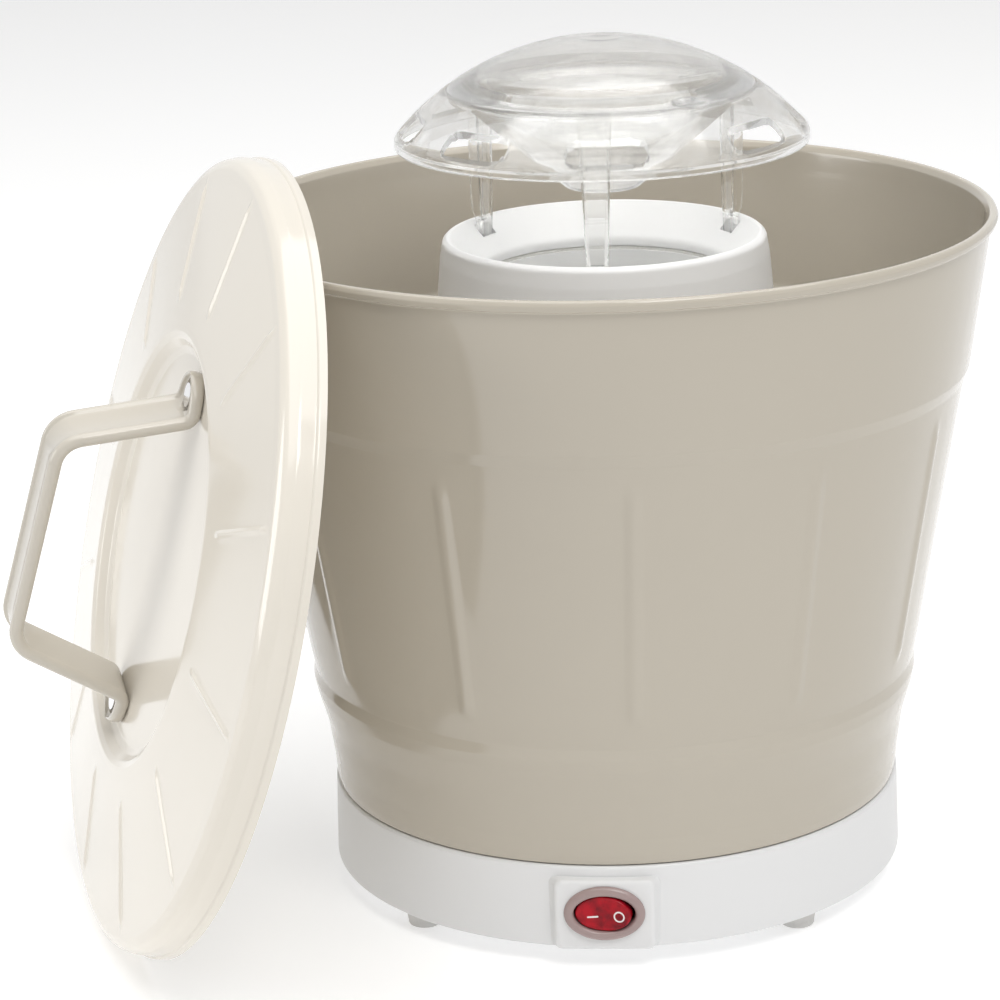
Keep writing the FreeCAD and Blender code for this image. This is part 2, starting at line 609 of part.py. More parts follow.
def make_fan_case():
    body = new_body("fan_case_body")
    outer = D.fan_case_radius + D.fan_case_wall
    bottom = D.fan_case_bottom
    revolve(body, "fan_case_shell", [
        (D.intake_radius, bottom), (outer, bottom), (outer, D.heater_bottom - D.fan_case_wall),
        (D.heater_flange_radius, D.heater_bottom - D.fan_case_wall),
        (D.heater_flange_radius, D.heater_bottom), (D.fan_case_radius, D.heater_bottom),
        (D.fan_case_radius, bottom + D.fan_case_wall), (D.intake_radius, bottom + D.fan_case_wall)])
    foot = D.foot_height + D.plate_boss_height
    posts = [cylinder(f"case_post_{a}", D.post_radius, bottom + 0.5 - foot,
                      (*on_circle(D.post_circle.value - D.post_radius.value, a), foot))
             for a in POST_ANGLES]
    lugs = [cylinder(f"case_lug_{a}", D.post_radius + 1, 12,
                     (*on_circle(D.post_circle.value, a), foot)) for a in POST_ANGLES]
    bores = [cylinder(f"case_bore_{a}", D.screw_bore_radius, 10,
                      (*on_circle(D.post_circle.value, a), foot - 1)) for a in POST_ANGLES]
    pilots = [cylinder(f"case_pilot_{a}", D.screw_bore_radius, 5, (*on_circle(29.5, a), bottom - 1))
              for a in POST_ANGLES]
    case = fuse("fan_case_with_posts", [body, *posts, *lugs])
    machine_part("fan_housing", cut("fan_case", case, [*bores, *pilots]))


def make_heater():
    body = new_body("heater_case_body")
    outer = D.heater_radius + D.heater_wall
    revolve(body, "heater_case", [
        (D.heater_radius, D.heater_bottom), (D.heater_flange_radius, D.heater_bottom),
        (D.heater_flange_radius, D.heater_bottom + D.heater_wall),
        (outer, D.heater_bottom + D.heater_wall), (outer, D.heater_top),
        (D.chamber_radius + D.chamber_wall + 0.1, D.heater_top),
        (D.chamber_radius + D.chamber_wall + 0.1, D.heater_top - D.heater_wall),
        (D.heater_radius, D.heater_top - D.heater_wall)])
    machine_part("heater_housing", body)

    height = D.mica_top - D.mica_bottom
    across = 2 * (D.heater_radius - 0.3)
    plates = []
    for angle in (0, 90):
        turn = about_z(angle)
        for name, length, tall in (("sheet", 2 * D.mica_half_width, height),
                                   ("tab", across, D.mica_tab_height)):
            corner = turn.multVec(Vector(-length.value / 2, -D.mica_thickness.value / 2, 0))
            plates.append(box(f"mica_{name}_{angle}", length, D.mica_thickness, tall,
                              (corner.x, corner.y, D.mica_bottom), turn))
    machine_part("heater_frame", fuse("mica_cross", plates))

    turns = []
    for k in range(COIL_TURNS):
        turn = doc.addObject("Part::Torus", f"coil_turn_{k}")
        bind(turn, "Radius1", D.coil_radius)
        bind(turn, "Radius2", D.coil_wire_radius)
        turns.append(place(turn, (0, 0, D.coil_bottom + k * D.coil_pitch)))
    riser = cylinder("coil_riser", D.coil_wire_radius, (COIL_TURNS - 1) * D.coil_pitch,
                     (*on_circle(D.coil_radius.value, 45), D.coil_bottom))
    coil = fuse("coil", [*turns, riser])
    machine_part("heater_coil", coil)


def make_cutouts():
    """A thermostat disc and a thermal fuse on the heater housing."""
    wall = D.heater_radius + D.heater_wall + 0.3
    back = Rotation(Vector(1, 0, 0), -90)
    disc = cylinder("thermostat_disc", D.thermostat_radius, D.thermostat_thickness,
                    (0, wall, D.thermostat_height), back)
    blades = [box(f"thermostat_blade_{side}", 0.8, 3.0, 6.3,
                  (side * 4 - 0.4, wall + 1.5, D.thermostat_height + 6.5)) for side in (-1, 1)]
    machine_part("thermostat", fuse("thermostat_piece", [disc, *blades]))
    sideways = Rotation(Vector(0, 1, 0), 90)
    fuse_y = -(wall + D.fuse_radius)
    barrel = cylinder("fuse_barrel", D.fuse_radius, D.fuse_length,
                      (-D.fuse_length / 2, fuse_y, D.fuse_height), sideways)
    lead = cylinder("fuse_lead", 0.5, D.fuse_length + 12,
                    (-D.fuse_length / 2 - 6, fuse_y, D.fuse_height), sideways)
    machine_part("thermal_fuse", fuse("fuse_piece", [barrel, lead]))


# ---- tower and popping chamber ----------------------------------------------------------------

def make_chamber():
    body = new_body("chamber_body")
    top = D.throat_height - D.throat_lip - D.gasket_thickness
    outer = D.chamber_radius + D.chamber_wall
    revolve(body, "chamber_cup", [
        (0, D.chamber_floor), (outer, D.chamber_floor), (outer, top - D.chamber_wall),
        (D.chamber_flange_radius, top - D.chamber_wall), (D.chamber_flange_radius, top),
        (D.chamber_radius, top), (D.chamber_radius, D.chamber_floor + D.chamber_wall),
        (0, D.chamber_floor + D.chamber_wall)])
    slots = []
    for k in range(CHAMBER_VENTS):
        turn = about_z(360 * k / CHAMBER_VENTS) * Rotation(Vector(1, 0, 0), D.vent_slant.value)
        corner = turn.multVec(Vector(D.chamber_radius.value - 2, -D.vent_width.value / 2,
                                     -D.vent_height.value / 2))
        slots.append(box(f"vent_{k}", 5, D.vent_width, D.vent_height,
                         (corner.x, corner.y, corner.z + D.chamber_floor.value + 7), turn))
    machine_part("popping_chamber", cut("chamber", body, slots))
    machine_part("chamber_gasket", tube("gasket", D.chamber_flange_radius, D.chamber_radius + 0.6,
                                        D.gasket_thickness, top))


def make_tower():
    body = new_body("tower_body")
    bottom = D.deck_height - D.base_wall
    wall = D.tower_wall
    revolve(body, "tower_shell", [
        (D.tower_foot_radius - wall, bottom - wall), (D.tower_flange_radius, bottom - wall),
        (D.tower_flange_radius, bottom), (D.tower_foot_radius, bottom),
        (D.tower_neck_radius, D.tower_neck_height), (D.tower_brow_radius, D.tower_brow_height),
        (D.tower_brow_radius - 0.9, D.mouth_height - 1), (D.mouth_radius + 0.6, D.mouth_height),
        (D.mouth_radius, D.mouth_height - 0.2), (D.throat_radius, D.throat_height),
        (D.throat_radius, D.throat_height - D.throat_lip),
        (D.throat_radius + 1.2, D.throat_height - D.throat_lip),
        (D.mouth_radius - 1, D.mouth_height - 3.4), (D.tower_brow_radius - wall, D.tower_brow_height - 1),
        (D.tower_neck_radius - wall, D.tower_neck_height)])
    sockets, slots = [], []
    for angle in LEG_ANGLES:
        turn = about_z(angle)
        for made, name, width, depth, low, high in (
                (sockets, "socket", D.socket_width, D.socket_depth, D.socket_floor, D.throat_height + 6.5),
                (slots, "slot", D.slot_width, D.slot_depth, D.slot_floor, D.mouth_height)):
            corner = turn.multVec(Vector(D.socket_circle.value - depth.value / 2, -width.value / 2, 0))
            made.append(box(f"{name}_{angle}", depth, width, high - low,
                            (corner.x, corner.y, low), turn))
    holes = [cylinder(f"tower_screw_hole_{a}", D.screw_clearance, 6,
                      (*on_circle(D.tower_screw_circle.value, a), bottom - wall - 1))
             for a in TOWER_SCREW_ANGLES]
    machine_part("chamber_tower", cut("tower", fuse("tower_with_sockets", [body, *sockets]),
                                      [*slots, *holes]))
    seat = (bottom - wall).value
    screws = [screw(f"tower_screw_{a}", (*on_circle(D.tower_screw_circle.value, a), seat), 3.9)
              for a in TOWER_SCREW_ANGLES]
    machine_part("tower_screws", group("tower_screw_group", screws))


# ---- bucket -----------------------------------------------------------------------------------

def stave_radius(height):
    """Outer radius of the bucket's wall between its two hoops."""
    slope = (D.stave_top_radius - D.stave_bottom_radius) / (D.stave_top - D.stave_bottom)
    return D.stave_bottom_radius + (height - D.stave_bottom) * slope


def make_bucket():
    body = new_body("bucket")
    wall = D.bucket_wall
    floor_top = D.bucket_floor + wall
    collar = D.bucket_collar_radius + wall
    revolve(body, "bucket_shell", [
        (D.bucket_foot_radius, D.bucket_bottom), (D.bucket_foot_radius + 0.4, D.bucket_bottom + 8),
        (D.low_hoop_radius, D.low_hoop_height), (D.low_hoop_top_radius, D.low_hoop_top),
        (D.stave_bottom_radius, D.stave_bottom), (D.stave_top_radius, D.stave_top),
        (D.high_hoop_radius, D.high_hoop), (D.bucket_top_radius, D.bucket_top),
        (D.rim_radius - 0.5, D.bucket_top + 1.2), (D.rim_radius, D.bucket_top + 3),
        (D.rim_radius - 0.6, D.rim_top - 0.8), (D.rim_radius - 1.6, D.rim_top),
        (D.rim_radius - 3, D.rim_top), (D.rim_radius - 3.8, D.rim_top - 1),
        (D.bucket_top_radius - wall, D.bucket_top), (D.high_hoop_radius - wall, D.high_hoop),
        (D.stave_top_radius - wall, D.stave_top), (D.stave_bottom_radius - wall, D.stave_bottom),
        (D.low_hoop_radius - wall, D.low_hoop_height), (D.bucket_foot_radius + 0.4 - wall, floor_top),
        (collar, floor_top), (collar, D.bucket_collar_top), (D.bucket_collar_radius, D.bucket_collar_top),
        (D.bucket_collar_radius, D.bucket_floor), (D.bucket_foot_radius - wall, D.bucket_floor),
        (D.bucket_foot_radius - wall, D.bucket_bottom)])
    low, high = D.rib_bottom, D.rib_top
    rib = revolve(body, "stave_rib", [
        (stave_radius(low) - 1, low), (stave_radius(low), low),
        (stave_radius(low + 4) + D.rib_rise, low + 4), (stave_radius(high - 4) + D.rib_rise, high - 4),
        (stave_radius(high), high), (stave_radius(high) - 1, high)], angle=D.rib_angle)
    repeat(body, rib, BUCKET_RIBS)
    machine_part("bucket", body)
    place(body, (D.axis_x, D.axis_y, 0), about_z(D.rib_turn.value))


# ---- clear cap --------------------------------------------------------------------------------

def sphere_height(radius, inset=0.0):
    """Height of the cap's shared sphere at a radius, or of the sphere that lies inside it."""
    ball = D.dome_sphere.value - inset
    return D.dome_top.value - D.dome_sphere.value + math.sqrt(ball ** 2 - radius ** 2)


def sphere_arc(start, end, inset=0.0, count=5):
    """Corners along the sphere from one radius to another."""
    radii = [start + (end - start) * k / count for k in range(count + 1)]
    return [(radius, sphere_height(radius, inset)) for radius in radii]


def turned(name, corners):
    """A solid of revolution of a plain outline about the axis."""
    wire = Part.makePolygon([Vector(value_of(x), 0, value_of(z)) for x, z in [*corners, corners[0]]])
    part = doc.addObject("Part::Feature", name)
    part.Shape = Part.Face(wire).revolve(Vector(0, 0, 0), Vector(0, 0, 1), 360)
    return part


def wedge(name, angle, widths, depths, heights):
    """A bar on the leg circle that tapers from its top to its tip."""
    part = doc.addObject("Part::Wedge", name)
    tip, top = heights
    part.Xmin, part.Xmax = -depths[0] / 2, depths[0] / 2
    part.X2min, part.X2max = -depths[1] / 2, depths[1] / 2
    part.Zmin, part.Zmax = -widths[0] / 2, widths[0] / 2
    part.Z2min, part.Z2max = -widths[1] / 2, widths[1] / 2
    part.Ymin, part.Ymax = tip, top
    # the wedge tapers along its own Y, which stands up along Z
    upright = about_z(angle) * Rotation(Vector(1, 0, 0), 90)
    part.Placement = Placement(about_z(angle).multVec(Vector(D.leg_circle.value, 0, 0)), upright)
    return part


def make_cap():
    wall = D.cap_wall.value
    under_seat = D.seat_height - D.cap_wall
    rim_top = sphere_height(D.cap_radius.value)
    ring = turned("cap_ring", [
        (D.cap_radius, D.cap_bottom), *sphere_arc(D.cap_radius.value, D.seat_radius.value + 0.8),
        (D.seat_radius, sphere_height(D.seat_radius.value + 0.8)), (D.seat_radius, D.seat_height),
        (D.seat_hole_radius, D.seat_height), (D.seat_hole_radius, under_seat),
        *sphere_arc(D.seat_radius.value - 0.6, D.cap_radius.value - wall, inset=wall),
        (D.cap_radius - wall, D.cap_bottom)])
    windows = []
    for angle in CAP_WINDOW_ANGLES:
        start = angle - D.window_angle.value / 2
        outline = Part.makePolygon([Vector(r.value, 0, z) for r, z in (
            (D.window_inner, rim_top - 2), (D.window_outer, rim_top - 2),
            (D.window_outer, rim_top + 14), (D.window_inner, rim_top + 14),
            (D.window_inner, rim_top - 2))])
        window = doc.addObject("Part::Feature", f"cap_window_{angle}")
        window.Shape = Part.Face(outline).revolve(Vector(0, 0, 0), Vector(0, 0, 1),
                                                  D.window_angle.value)
        window.Placement = Placement(Vector(0, 0, 0), about_z(start))
        windows.append(window)
    widths = (D.leg_tip_width.value, D.leg_top_width.value)
    depths = (D.leg_tip_depth.value, D.leg_top_depth.value)
    web = D.leg_channel.value
    legs, channels = [], []
    for angle in LEG_ANGLES:
        legs.append(wedge(f"leg_{angle}", angle, widths, depths, (D.leg_tip.value, under_seat.value + 0.6)))
        channel = wedge(f"leg_channel_{angle}", angle, [w - 2 * web for w in widths], depths,
                        (D.leg_tip.value + 4, under_seat.value - 2))
        channel.Placement.move(about_z(angle).multVec(Vector(web, 0, 0)))
        channels.append(channel)
    cap = cut("cap", fuse("cap_with_legs", [cut("cap_ring_open", ring, windows), *legs]), channels)
    machine_part("dispersing_cap", cap)


def make_deflector():
    wall = D.cone_wall
    cone_ = turned("deflector", [
        (0, D.cone_tip), (D.cone_tip_radius, D.cone_tip), (D.cone_rim_radius, D.cone_rim),
        (D.cone_rim_radius, D.seat_height), (D.cone_flange_radius, D.seat_height),
        (D.cone_flange_radius, D.seat_height + 1.4), (D.cone_rim_radius - wall, D.seat_height + 1.4),
        (D.cone_rim_radius - wall, D.cone_rim + 0.6), (D.cone_tip_radius - 0.5, D.cone_tip + wall),
        (0, D.cone_tip + wall)])
    machine_part("deflector_cone", cone_)


def make_measuring_cap():
    wall = D.cup_wall.value
    plug = D.cup_plug_radius
    shell = turned("dome_shell", [
        (0, D.dome_top), *sphere_arc(20, D.cup_radius.value), (D.cup_radius, D.cup_bottom),
        (plug, D.cup_bottom), (plug, D.cup_bottom - D.cup_plug_depth),
        (plug - wall, D.cup_bottom - D.cup_plug_depth),
        *sphere_arc(plug.value - wall, 18, inset=wall), (0, D.dome_top - wall)])
    x, y = on_circle(D.cup_tab_circle.value, D.cup_tab_turn.value)
    tab = cylinder("dome_tab", D.cup_tab_radius, D.cup_tab_thickness, (x, y, D.cup_tab_bottom))
    dimple = cylinder("dome_tab_dimple", D.cup_dimple_radius, 5,
                      (x, y, D.cup_tab_bottom + D.cup_tab_thickness / 2))
    machine_part("measuring_cap", fuse("dome", [shell, cut("dome_tab_dimpled", tab, [dimple])]))


# ---- lid --------------------------------------------------------------------------------------

def lid_height(radius):
    """Height of the lid's sloping top above its rim plane."""
    slope = (D.lid_crest - D.lid_shoulder) / (D.lid_shoulder_radius - D.lid_crest_radius)
    return D.lid_shoulder + (D.lid_shoulder_radius - radius) * slope


def make_lid():
    body = new_body("lid_body")
    wall = D.lid_wall
    revolve(body, "lid_shell", [
        (D.lid_radius, 0), (D.lid_radius, D.lid_lip_height), (D.lid_skirt_radius, D.lid_lip_height + 0.5),
        (D.lid_skirt_radius, D.lid_skirt_top), (D.lid_skirt_radius - 1.2, D.lid_shoulder - 1.3),
        (D.lid_shoulder_radius, D.lid_shoulder), (D.lid_crest_radius + 2, D.lid_crest - 0.2),
        (D.lid_crest_radius, D.lid_crest), (D.lid_crest_radius - 2, D.lid_crest - 0.4),
        (D.lid_recess_radius, D.lid_recess), (0, D.lid_recess), (0, D.lid_recess - wall),
        (D.lid_recess_radius + 1.2, D.lid_recess - wall),
        (D.lid_crest_radius - 0.6, D.lid_crest - wall - 0.4),
        (D.lid_crest_radius + 2, D.lid_crest - wall - 0.2),
        (D.lid_shoulder_radius - 1.2, D.lid_shoulder - wall), (D.lid_skirt_radius - wall, D.lid_skirt_top - 0.6),
        (D.lid_skirt_radius - wall, 0)])
    inner, outer, rise = D.lid_rib_inner, D.lid_rib_outer, D.lid_rib_rise
    rib = pad(body, "lid_rib", "XZ_Plane", [
        (inner, lid_height(inner) - 1), (outer, lid_height(outer) - 1), (outer, lid_height(outer)),
        (outer - 3, lid_height(outer - 3) + rise), (inner + 3, lid_height(inner + 3) + rise),
        (inner, lid_height(inner))], D.lid_rib_width, midplane=True)
    repeat(body, rib, LID_RIBS)
    holes = [cylinder(f"lid_hole_{side}", D.handle_hole_radius, 12,
                      (side * D.handle_hole_circle, 0, D.lid_recess - 8)) for side in (-1, 1)]
    lid_part("lid", cut("lid_drilled", body, holes))


def make_handle():
    """A flat strap: two half-round feet, two arms leaning inward and a straight grip."""
    low, foot_top = D.lid_recess, D.lid_recess + D.strap_thickness
    grip_low = D.grip_height - D.strap_thickness / 2
    grip_top = D.grip_height + D.strap_thickness / 2
    mid_foot = D.lid_recess + D.strap_thickness / 2
    run = D.grip_half_length - D.strap_foot
    climb = D.grip_height - mid_foot
    half_across = D.strap_thickness / 2 * (hypotenuse(run, climb) / climb)

    def arm(height, side):
        return D.strap_foot + (height - mid_foot) * (run / climb) + side * half_across

    right = [(arm(low, -1), low), (D.strap_tip, low), (D.strap_tip, foot_top),
             (arm(foot_top, 1), foot_top), (arm(grip_top, 1), grip_top)]
    left = [(-x, z) for x, z in reversed(right)]
    under = [(-arm(grip_low, -1), grip_low), (arm(grip_low, -1), grip_low)]
    body = new_body("strap_body")
    strap = pad(body, "strap", "XZ_Plane", [*right, *left, *under], D.strap_width, midplane=True)
    corners = {(round(arm(z, s).value, 2), round(z.value, 2)): None
               for z, s in ((grip_top, 1), (grip_low, -1))}

    def is_bend(edge):
        centre = edge.BoundBox.Center
        return (edge.BoundBox.XLength < 0.01 and edge.BoundBox.ZLength < 0.01
                and (round(abs(centre.x), 2), round(centre.z, 2)) in corners)

    round_edges(body, strap, D.strap_bend_radius - D.strap_thickness, is_bend)
    half = D.strap_width / 2
    plan = fuse("strap_plan", [
        box("strap_plan_middle", 2 * (D.strap_tip - half), D.strap_width, 80,
            (-(D.strap_tip - half), -half, 0)),
        *[cylinder(f"strap_plan_end_{s}", half, 80, (s * (D.strap_tip - half), 0, 0)) for s in (-1, 1)]])
    holes = []
    for s in (-1, 1):
        x = s * D.handle_hole_circle
        holes.append(cylinder(f"strap_hole_{s}", D.handle_hole_radius, 10, (x, 0, low - 1)))
        holes.append(cylinder(f"strap_pocket_{s}", D.handle_pocket_radius, 10,
                              (x, 0, foot_top - D.handle_pocket_depth)))
    lid_part("lid_handle", cut("strap_drilled", common("strap_trimmed", body, plan), holes))

    seat = foot_top - D.handle_pocket_depth
    nut_top = D.lid_recess - D.lid_wall
    screws, nuts = [], []
    for s in (-1, 1):
        x = s * D.handle_hole_circle
        name = "right" if s > 0 else "left"
        length = seat - nut_top + D.handle_nut_height
        screws.append(fuse(f"handle_screw_{name}", [
            cylinder(f"handle_head_{name}", D.handle_head_radius, D.handle_head_height, (x, 0, seat)),
            cylinder(f"handle_shank_{name}", D.handle_screw_radius, length, (x, 0, seat - length))]))
        nut = doc.addObject("Part::Prism", f"handle_nut_{name}")
        nut.Polygon = 6
        bind(nut, "Circumradius", D.handle_nut_radius)
        bind(nut, "Height", D.handle_nut_height)
        place(nut, (x, 0, nut_top - D.handle_nut_height))
        nuts.append(cut(f"handle_nut_bored_{name}", nut, [
            cylinder(f"handle_nut_bore_{name}", D.handle_screw_radius, 20, (x, 0, 0))]))
    lid_part("handle_screws", group("handle_screw_group", screws))
    lid_part("handle_nuts", group("handle_nut_group", nuts))


def check_and_export():
    doc.recompute()
    for thing in doc.Objects:
        if {"Invalid", "Error"} & set(thing.State):
            raise RuntimeError(f"{thing.Label} did not compute: {thing.State}")
    os.makedirs("parts", exist_ok=True)
    for part in SUBPARTS:
        shape = part.Shape
        if shape.isNull() or not shape.isValid():
            raise RuntimeError(f"{part.Label} has no valid shape")
        shape.exportStep(f"parts/{part.Label}.step")
        print(f"{part.Label:18s} {len(shape.Solids)} solid(s) {shape.Volume / 1000:9.2f} cm3")


make_base_housing()
make_base_plate()
make_feet()
make_base_screws()
make_cord_gland()
make_switch()
make_motor()
make_diode_board()
make_motor_bracket()
make_fan()
make_fan_case()
make_heater()
make_cutouts()
make_chamber()
make_tower()
make_bucket()
make_cap()
make_deflector()
make_measuring_cap()
make_lid()
make_handle()
check_and_export()
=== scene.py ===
import math

import bmesh
import bpy
from mathutils import Matrix, Vector


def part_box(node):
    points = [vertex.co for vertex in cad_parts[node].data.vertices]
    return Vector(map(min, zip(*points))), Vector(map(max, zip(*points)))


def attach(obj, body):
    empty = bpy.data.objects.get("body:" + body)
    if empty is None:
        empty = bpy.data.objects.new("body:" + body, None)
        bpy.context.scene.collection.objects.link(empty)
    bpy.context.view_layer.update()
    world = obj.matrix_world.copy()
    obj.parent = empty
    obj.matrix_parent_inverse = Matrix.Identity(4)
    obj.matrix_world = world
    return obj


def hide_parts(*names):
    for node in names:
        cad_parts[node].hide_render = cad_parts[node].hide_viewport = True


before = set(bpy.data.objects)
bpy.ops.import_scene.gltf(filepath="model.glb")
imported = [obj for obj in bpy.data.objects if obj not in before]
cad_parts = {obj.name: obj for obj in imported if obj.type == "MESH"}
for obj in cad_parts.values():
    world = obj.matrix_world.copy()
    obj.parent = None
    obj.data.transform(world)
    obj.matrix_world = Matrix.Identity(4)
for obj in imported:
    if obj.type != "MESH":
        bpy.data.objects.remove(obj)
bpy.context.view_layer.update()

MM = 0.001
TAU = 2 * math.pi

# Shapes are drawn in millimetres. MACHINE, LID and ROCKER place them in the frame's metres.
# An outline is a list of (radius, height, fillet radius) corners.

# ---- places -----------------------------------------------------------------------------------

bucket_low, bucket_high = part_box("bucket")
AXIS = Vector(((bucket_low[0] + bucket_high[0]) / 2, (bucket_low[1] + bucket_high[1]) / 2, 0))
MACHINE = Matrix.Translation(AXIS) @ Matrix.Scale(MM, 4)

# the lid stands on its edge: its lean, the way its top faces, its turn about its own axis
LEAN, AZIMUTH, SPIN = math.radians(14.5), math.radians(200.5), math.radians(-10.5)
LID_RADIUS = 138.0
LID_CENTRE = AXIS + Vector((-137.2, -59.0, LID_RADIUS * math.cos(LEAN))) * MM
LID = (Matrix.Translation(LID_CENTRE) @ Matrix.Rotation(AZIMUTH, 4, "Z")
       @ Matrix.Rotation(math.pi / 2 - LEAN, 4, "Y") @ Matrix.Rotation(SPIN, 4, "Z")
       @ Matrix.Scale(MM, 4))

# the switch: its pivot in front of the axis, its height, and the rocker's turn at rest
PIVOT_DEPTH, SWITCH_HEIGHT, ROCKER_TILT = 103.3, 21.0, math.radians(8.0)
PIVOT = MACHINE @ Vector((0, -PIVOT_DEPTH, SWITCH_HEIGHT))
ROCKER = Matrix.Translation(PIVOT) @ Matrix.Rotation(-ROCKER_TILT, 4, "Z") @ Matrix.Scale(MM, 4)

LEG_TURNS = (30, 150, 270)

# ---- shapes -----------------------------------------------------------------------------------

ALMOST_STRAIGHT = math.pi - 0.01   # a flatter corner gets no arc
SIDE_SHARE = 0.48                  # of a side's length, the most that one fillet may take
ARC_STEP = math.radians(10)
LONG_SIDE, NEAR_END = 3.0, 0.8     # a long side gets a point this near to each of its ends
# after a boolean, in metres: points nearer than this are joined, edges shorter than this go
WELD, SLIVER = 2e-6, 1e-6


def rounded(corners, closed=True, reach=7.0):
    """Points of an outline of (x, y, fillet radius) corners, none much over reach apart."""
    points = []
    count = len(corners)
    for i, (x, y, radius) in enumerate(corners):
        here = Vector((x, y))
        ends = not closed and i in (0, count - 1)
        if radius <= 0 or ends:
            points.append(here)
            continue
        before = Vector(corners[i - 1][:2]) - here
        after = Vector(corners[(i + 1) % count][:2]) - here
        a, b = before.normalized(), after.normalized()
        angle = a.angle(b)
        if angle > ALMOST_STRAIGHT:
            points.append(here)
            continue
        back = min(radius / math.tan(angle / 2), SIDE_SHARE * before.length,
                   SIDE_SHARE * after.length)
        radius = back * math.tan(angle / 2)
        centre = here + (a + b).normalized() * (radius / math.sin(angle / 2))
        start, end = here + a * back - centre, here + b * back - centre
        turn = math.pi - angle
        steps = max(3, math.ceil(turn / ARC_STEP))
        for k in range(steps + 1):
            f = k / steps
            w0, w1 = math.sin((1 - f) * turn), math.sin(f * turn)
            points.append(centre + (start * w0 + end * w1) / math.sin(turn))
    dense = []
    last = len(points) if closed else len(points) - 1
    for i in range(last):
        p, q = points[i], points[(i + 1) % len(points)]
        length = (q - p).length
        dense.append(p)
        if length > LONG_SIDE:
            near = min(NEAR_END, length * 0.2) / length
            middle = max(0, math.ceil(length / reach) - 1)
            cuts = [near, *[k / (middle + 1) for k in range(1, middle + 1)], 1 - near]
            dense += [p.lerp(q, f) for f in sorted(cuts) if near <= f <= 1 - near]
    if not closed:
        dense.append(points[-1])
    return dense


def finish_mesh(name, bm, smooth_angle):
    """Makes an object of a bmesh, smooth but for edges sharper than an angle."""
    bmesh.ops.remove_doubles(bm, verts=bm.verts, dist=1e-7)
    bmesh.ops.recalc_face_normals(bm, faces=bm.faces)
    mesh = bpy.data.meshes.new(name)
    bm.to_mesh(mesh)
    bm.free()
    mesh.shade_smooth()
    if smooth_angle:
        mesh.set_sharp_from_angle(angle=math.radians(smooth_angle))
    piece = bpy.data.objects.new(name, mesh)
    bpy.context.scene.collection.objects.link(piece)
    return piece


def around(count, repeats=0, offset=0.0, half=0.0, fine=0):
    """Angles right round. Each repeat has finer ones over a half angle on both its sides."""
    if not repeats:
        return [TAU * k / count for k in range(count)]
    pitch = TAU / repeats
    coarse = max(2, count // repeats)
    turns = []
    for r in range(repeats):
        start = offset + r * pitch
        turns += [start + half * (2 * k / fine - 1) for k in range(fine + 1)]
        gap = pitch - 2 * half
        turns += [start + half + gap * k / coarse for k in range(1, coarse)]
    return turns


def revolve(name, points, turns, matrix, warp=None, closed=True, smooth_angle=50):
    """A surface of revolution about Z of (radius, height) points, which warp may move."""
    bm = bmesh.new()
    rings = []
    for radius, height in points:
        if radius < 1e-6:
            vertex = bm.verts.new(matrix @ Vector((0, 0, height)))
            rings.append([vertex] * len(turns))
            continue
        ring = []
        for turn in turns:
            r, z = warp(radius, height, turn) if warp else (radius, height)
            ring.append(bm.verts.new(matrix @ Vector((r * math.cos(turn), r * math.sin(turn), z))))
        rings.append(ring)
    join_rings(bm, rings, closed)
    return finish_mesh(name, bm, smooth_angle)


def join_rings(bm, rings, closed):
    """Faces between each ring and the next, leaving out corners that are the same vertex."""
    last = len(rings) if closed else len(rings) - 1
    for i in range(last):
        low, high = rings[i], rings[(i + 1) % len(rings)]
        for j in range(len(low)):
            k = (j + 1) % len(low)
            corners = []
            for vertex in (low[j], low[k], high[k], high[j]):
                if vertex not in corners:
                    corners.append(vertex)
            if len(corners) > 2:
                bm.faces.new(corners)


def loft(name, loops, matrix, ends="cap", smooth_angle=50):
    """A skin through loops of as many points, its two ends capped or joined to each other."""
    bm = bmesh.new()
    rings = [[bm.verts.new(matrix @ Vector(p)) for p in loop] for loop in loops]
    join_rings(bm, rings, ends == "join")
    if ends == "cap":
        bm.faces.new(rings[0])
        bm.faces.new(rings[-1])
    return finish_mesh(name, bm, smooth_angle)


def ellipse(half_x, half_z, y, middle=0.0):
    """An upright ellipse's loop at one depth y, its middle at a height."""
    return [(half_x * math.cos(a), y, half_z * math.sin(a) + middle) for a in around(96)]


def square(half_x, half_z, radius, y, count=96, middle=0.0):
    """A rounded rectangle's loop at one depth y, its points at even turns from its middle."""
    loop = []
    for k in range(count):
        turn = TAU * k / count
        c, s = math.cos(turn), math.sin(turn)
        # distance along this turn to the rounded rectangle, found by bisection
        low, high = 0.0, 2 * max(half_x, half_z)
        for _ in range(30):
            mid = (low + high) / 2
            dx = max(abs(c * mid) - (half_x - radius), 0)
            dz = max(abs(s * mid) - (half_z - radius), 0)
            inside = math.hypot(dx, dz) <= radius
            low, high = (mid, high) if inside else (low, mid)
        loop.append((c * low, y, middle + s * low))
    return loop


def between(x, start, end):
    """The height at x on the straight line through two points."""
    return start[1] + (x - start[0]) * (end[1] - start[1]) / (end[0] - start[0])


def ridge(turn, radius, count, offset, half, rise):
    """How far a surface stands out at a turn, where it has a number of soft ridges."""
    pitch = TAU / count
    off = (turn - offset + pitch / 2) % pitch - pitch / 2
    across = abs(off) * radius
    return rise * math.cos(across / half * math.pi / 2) ** 2 if across < half else 0.0


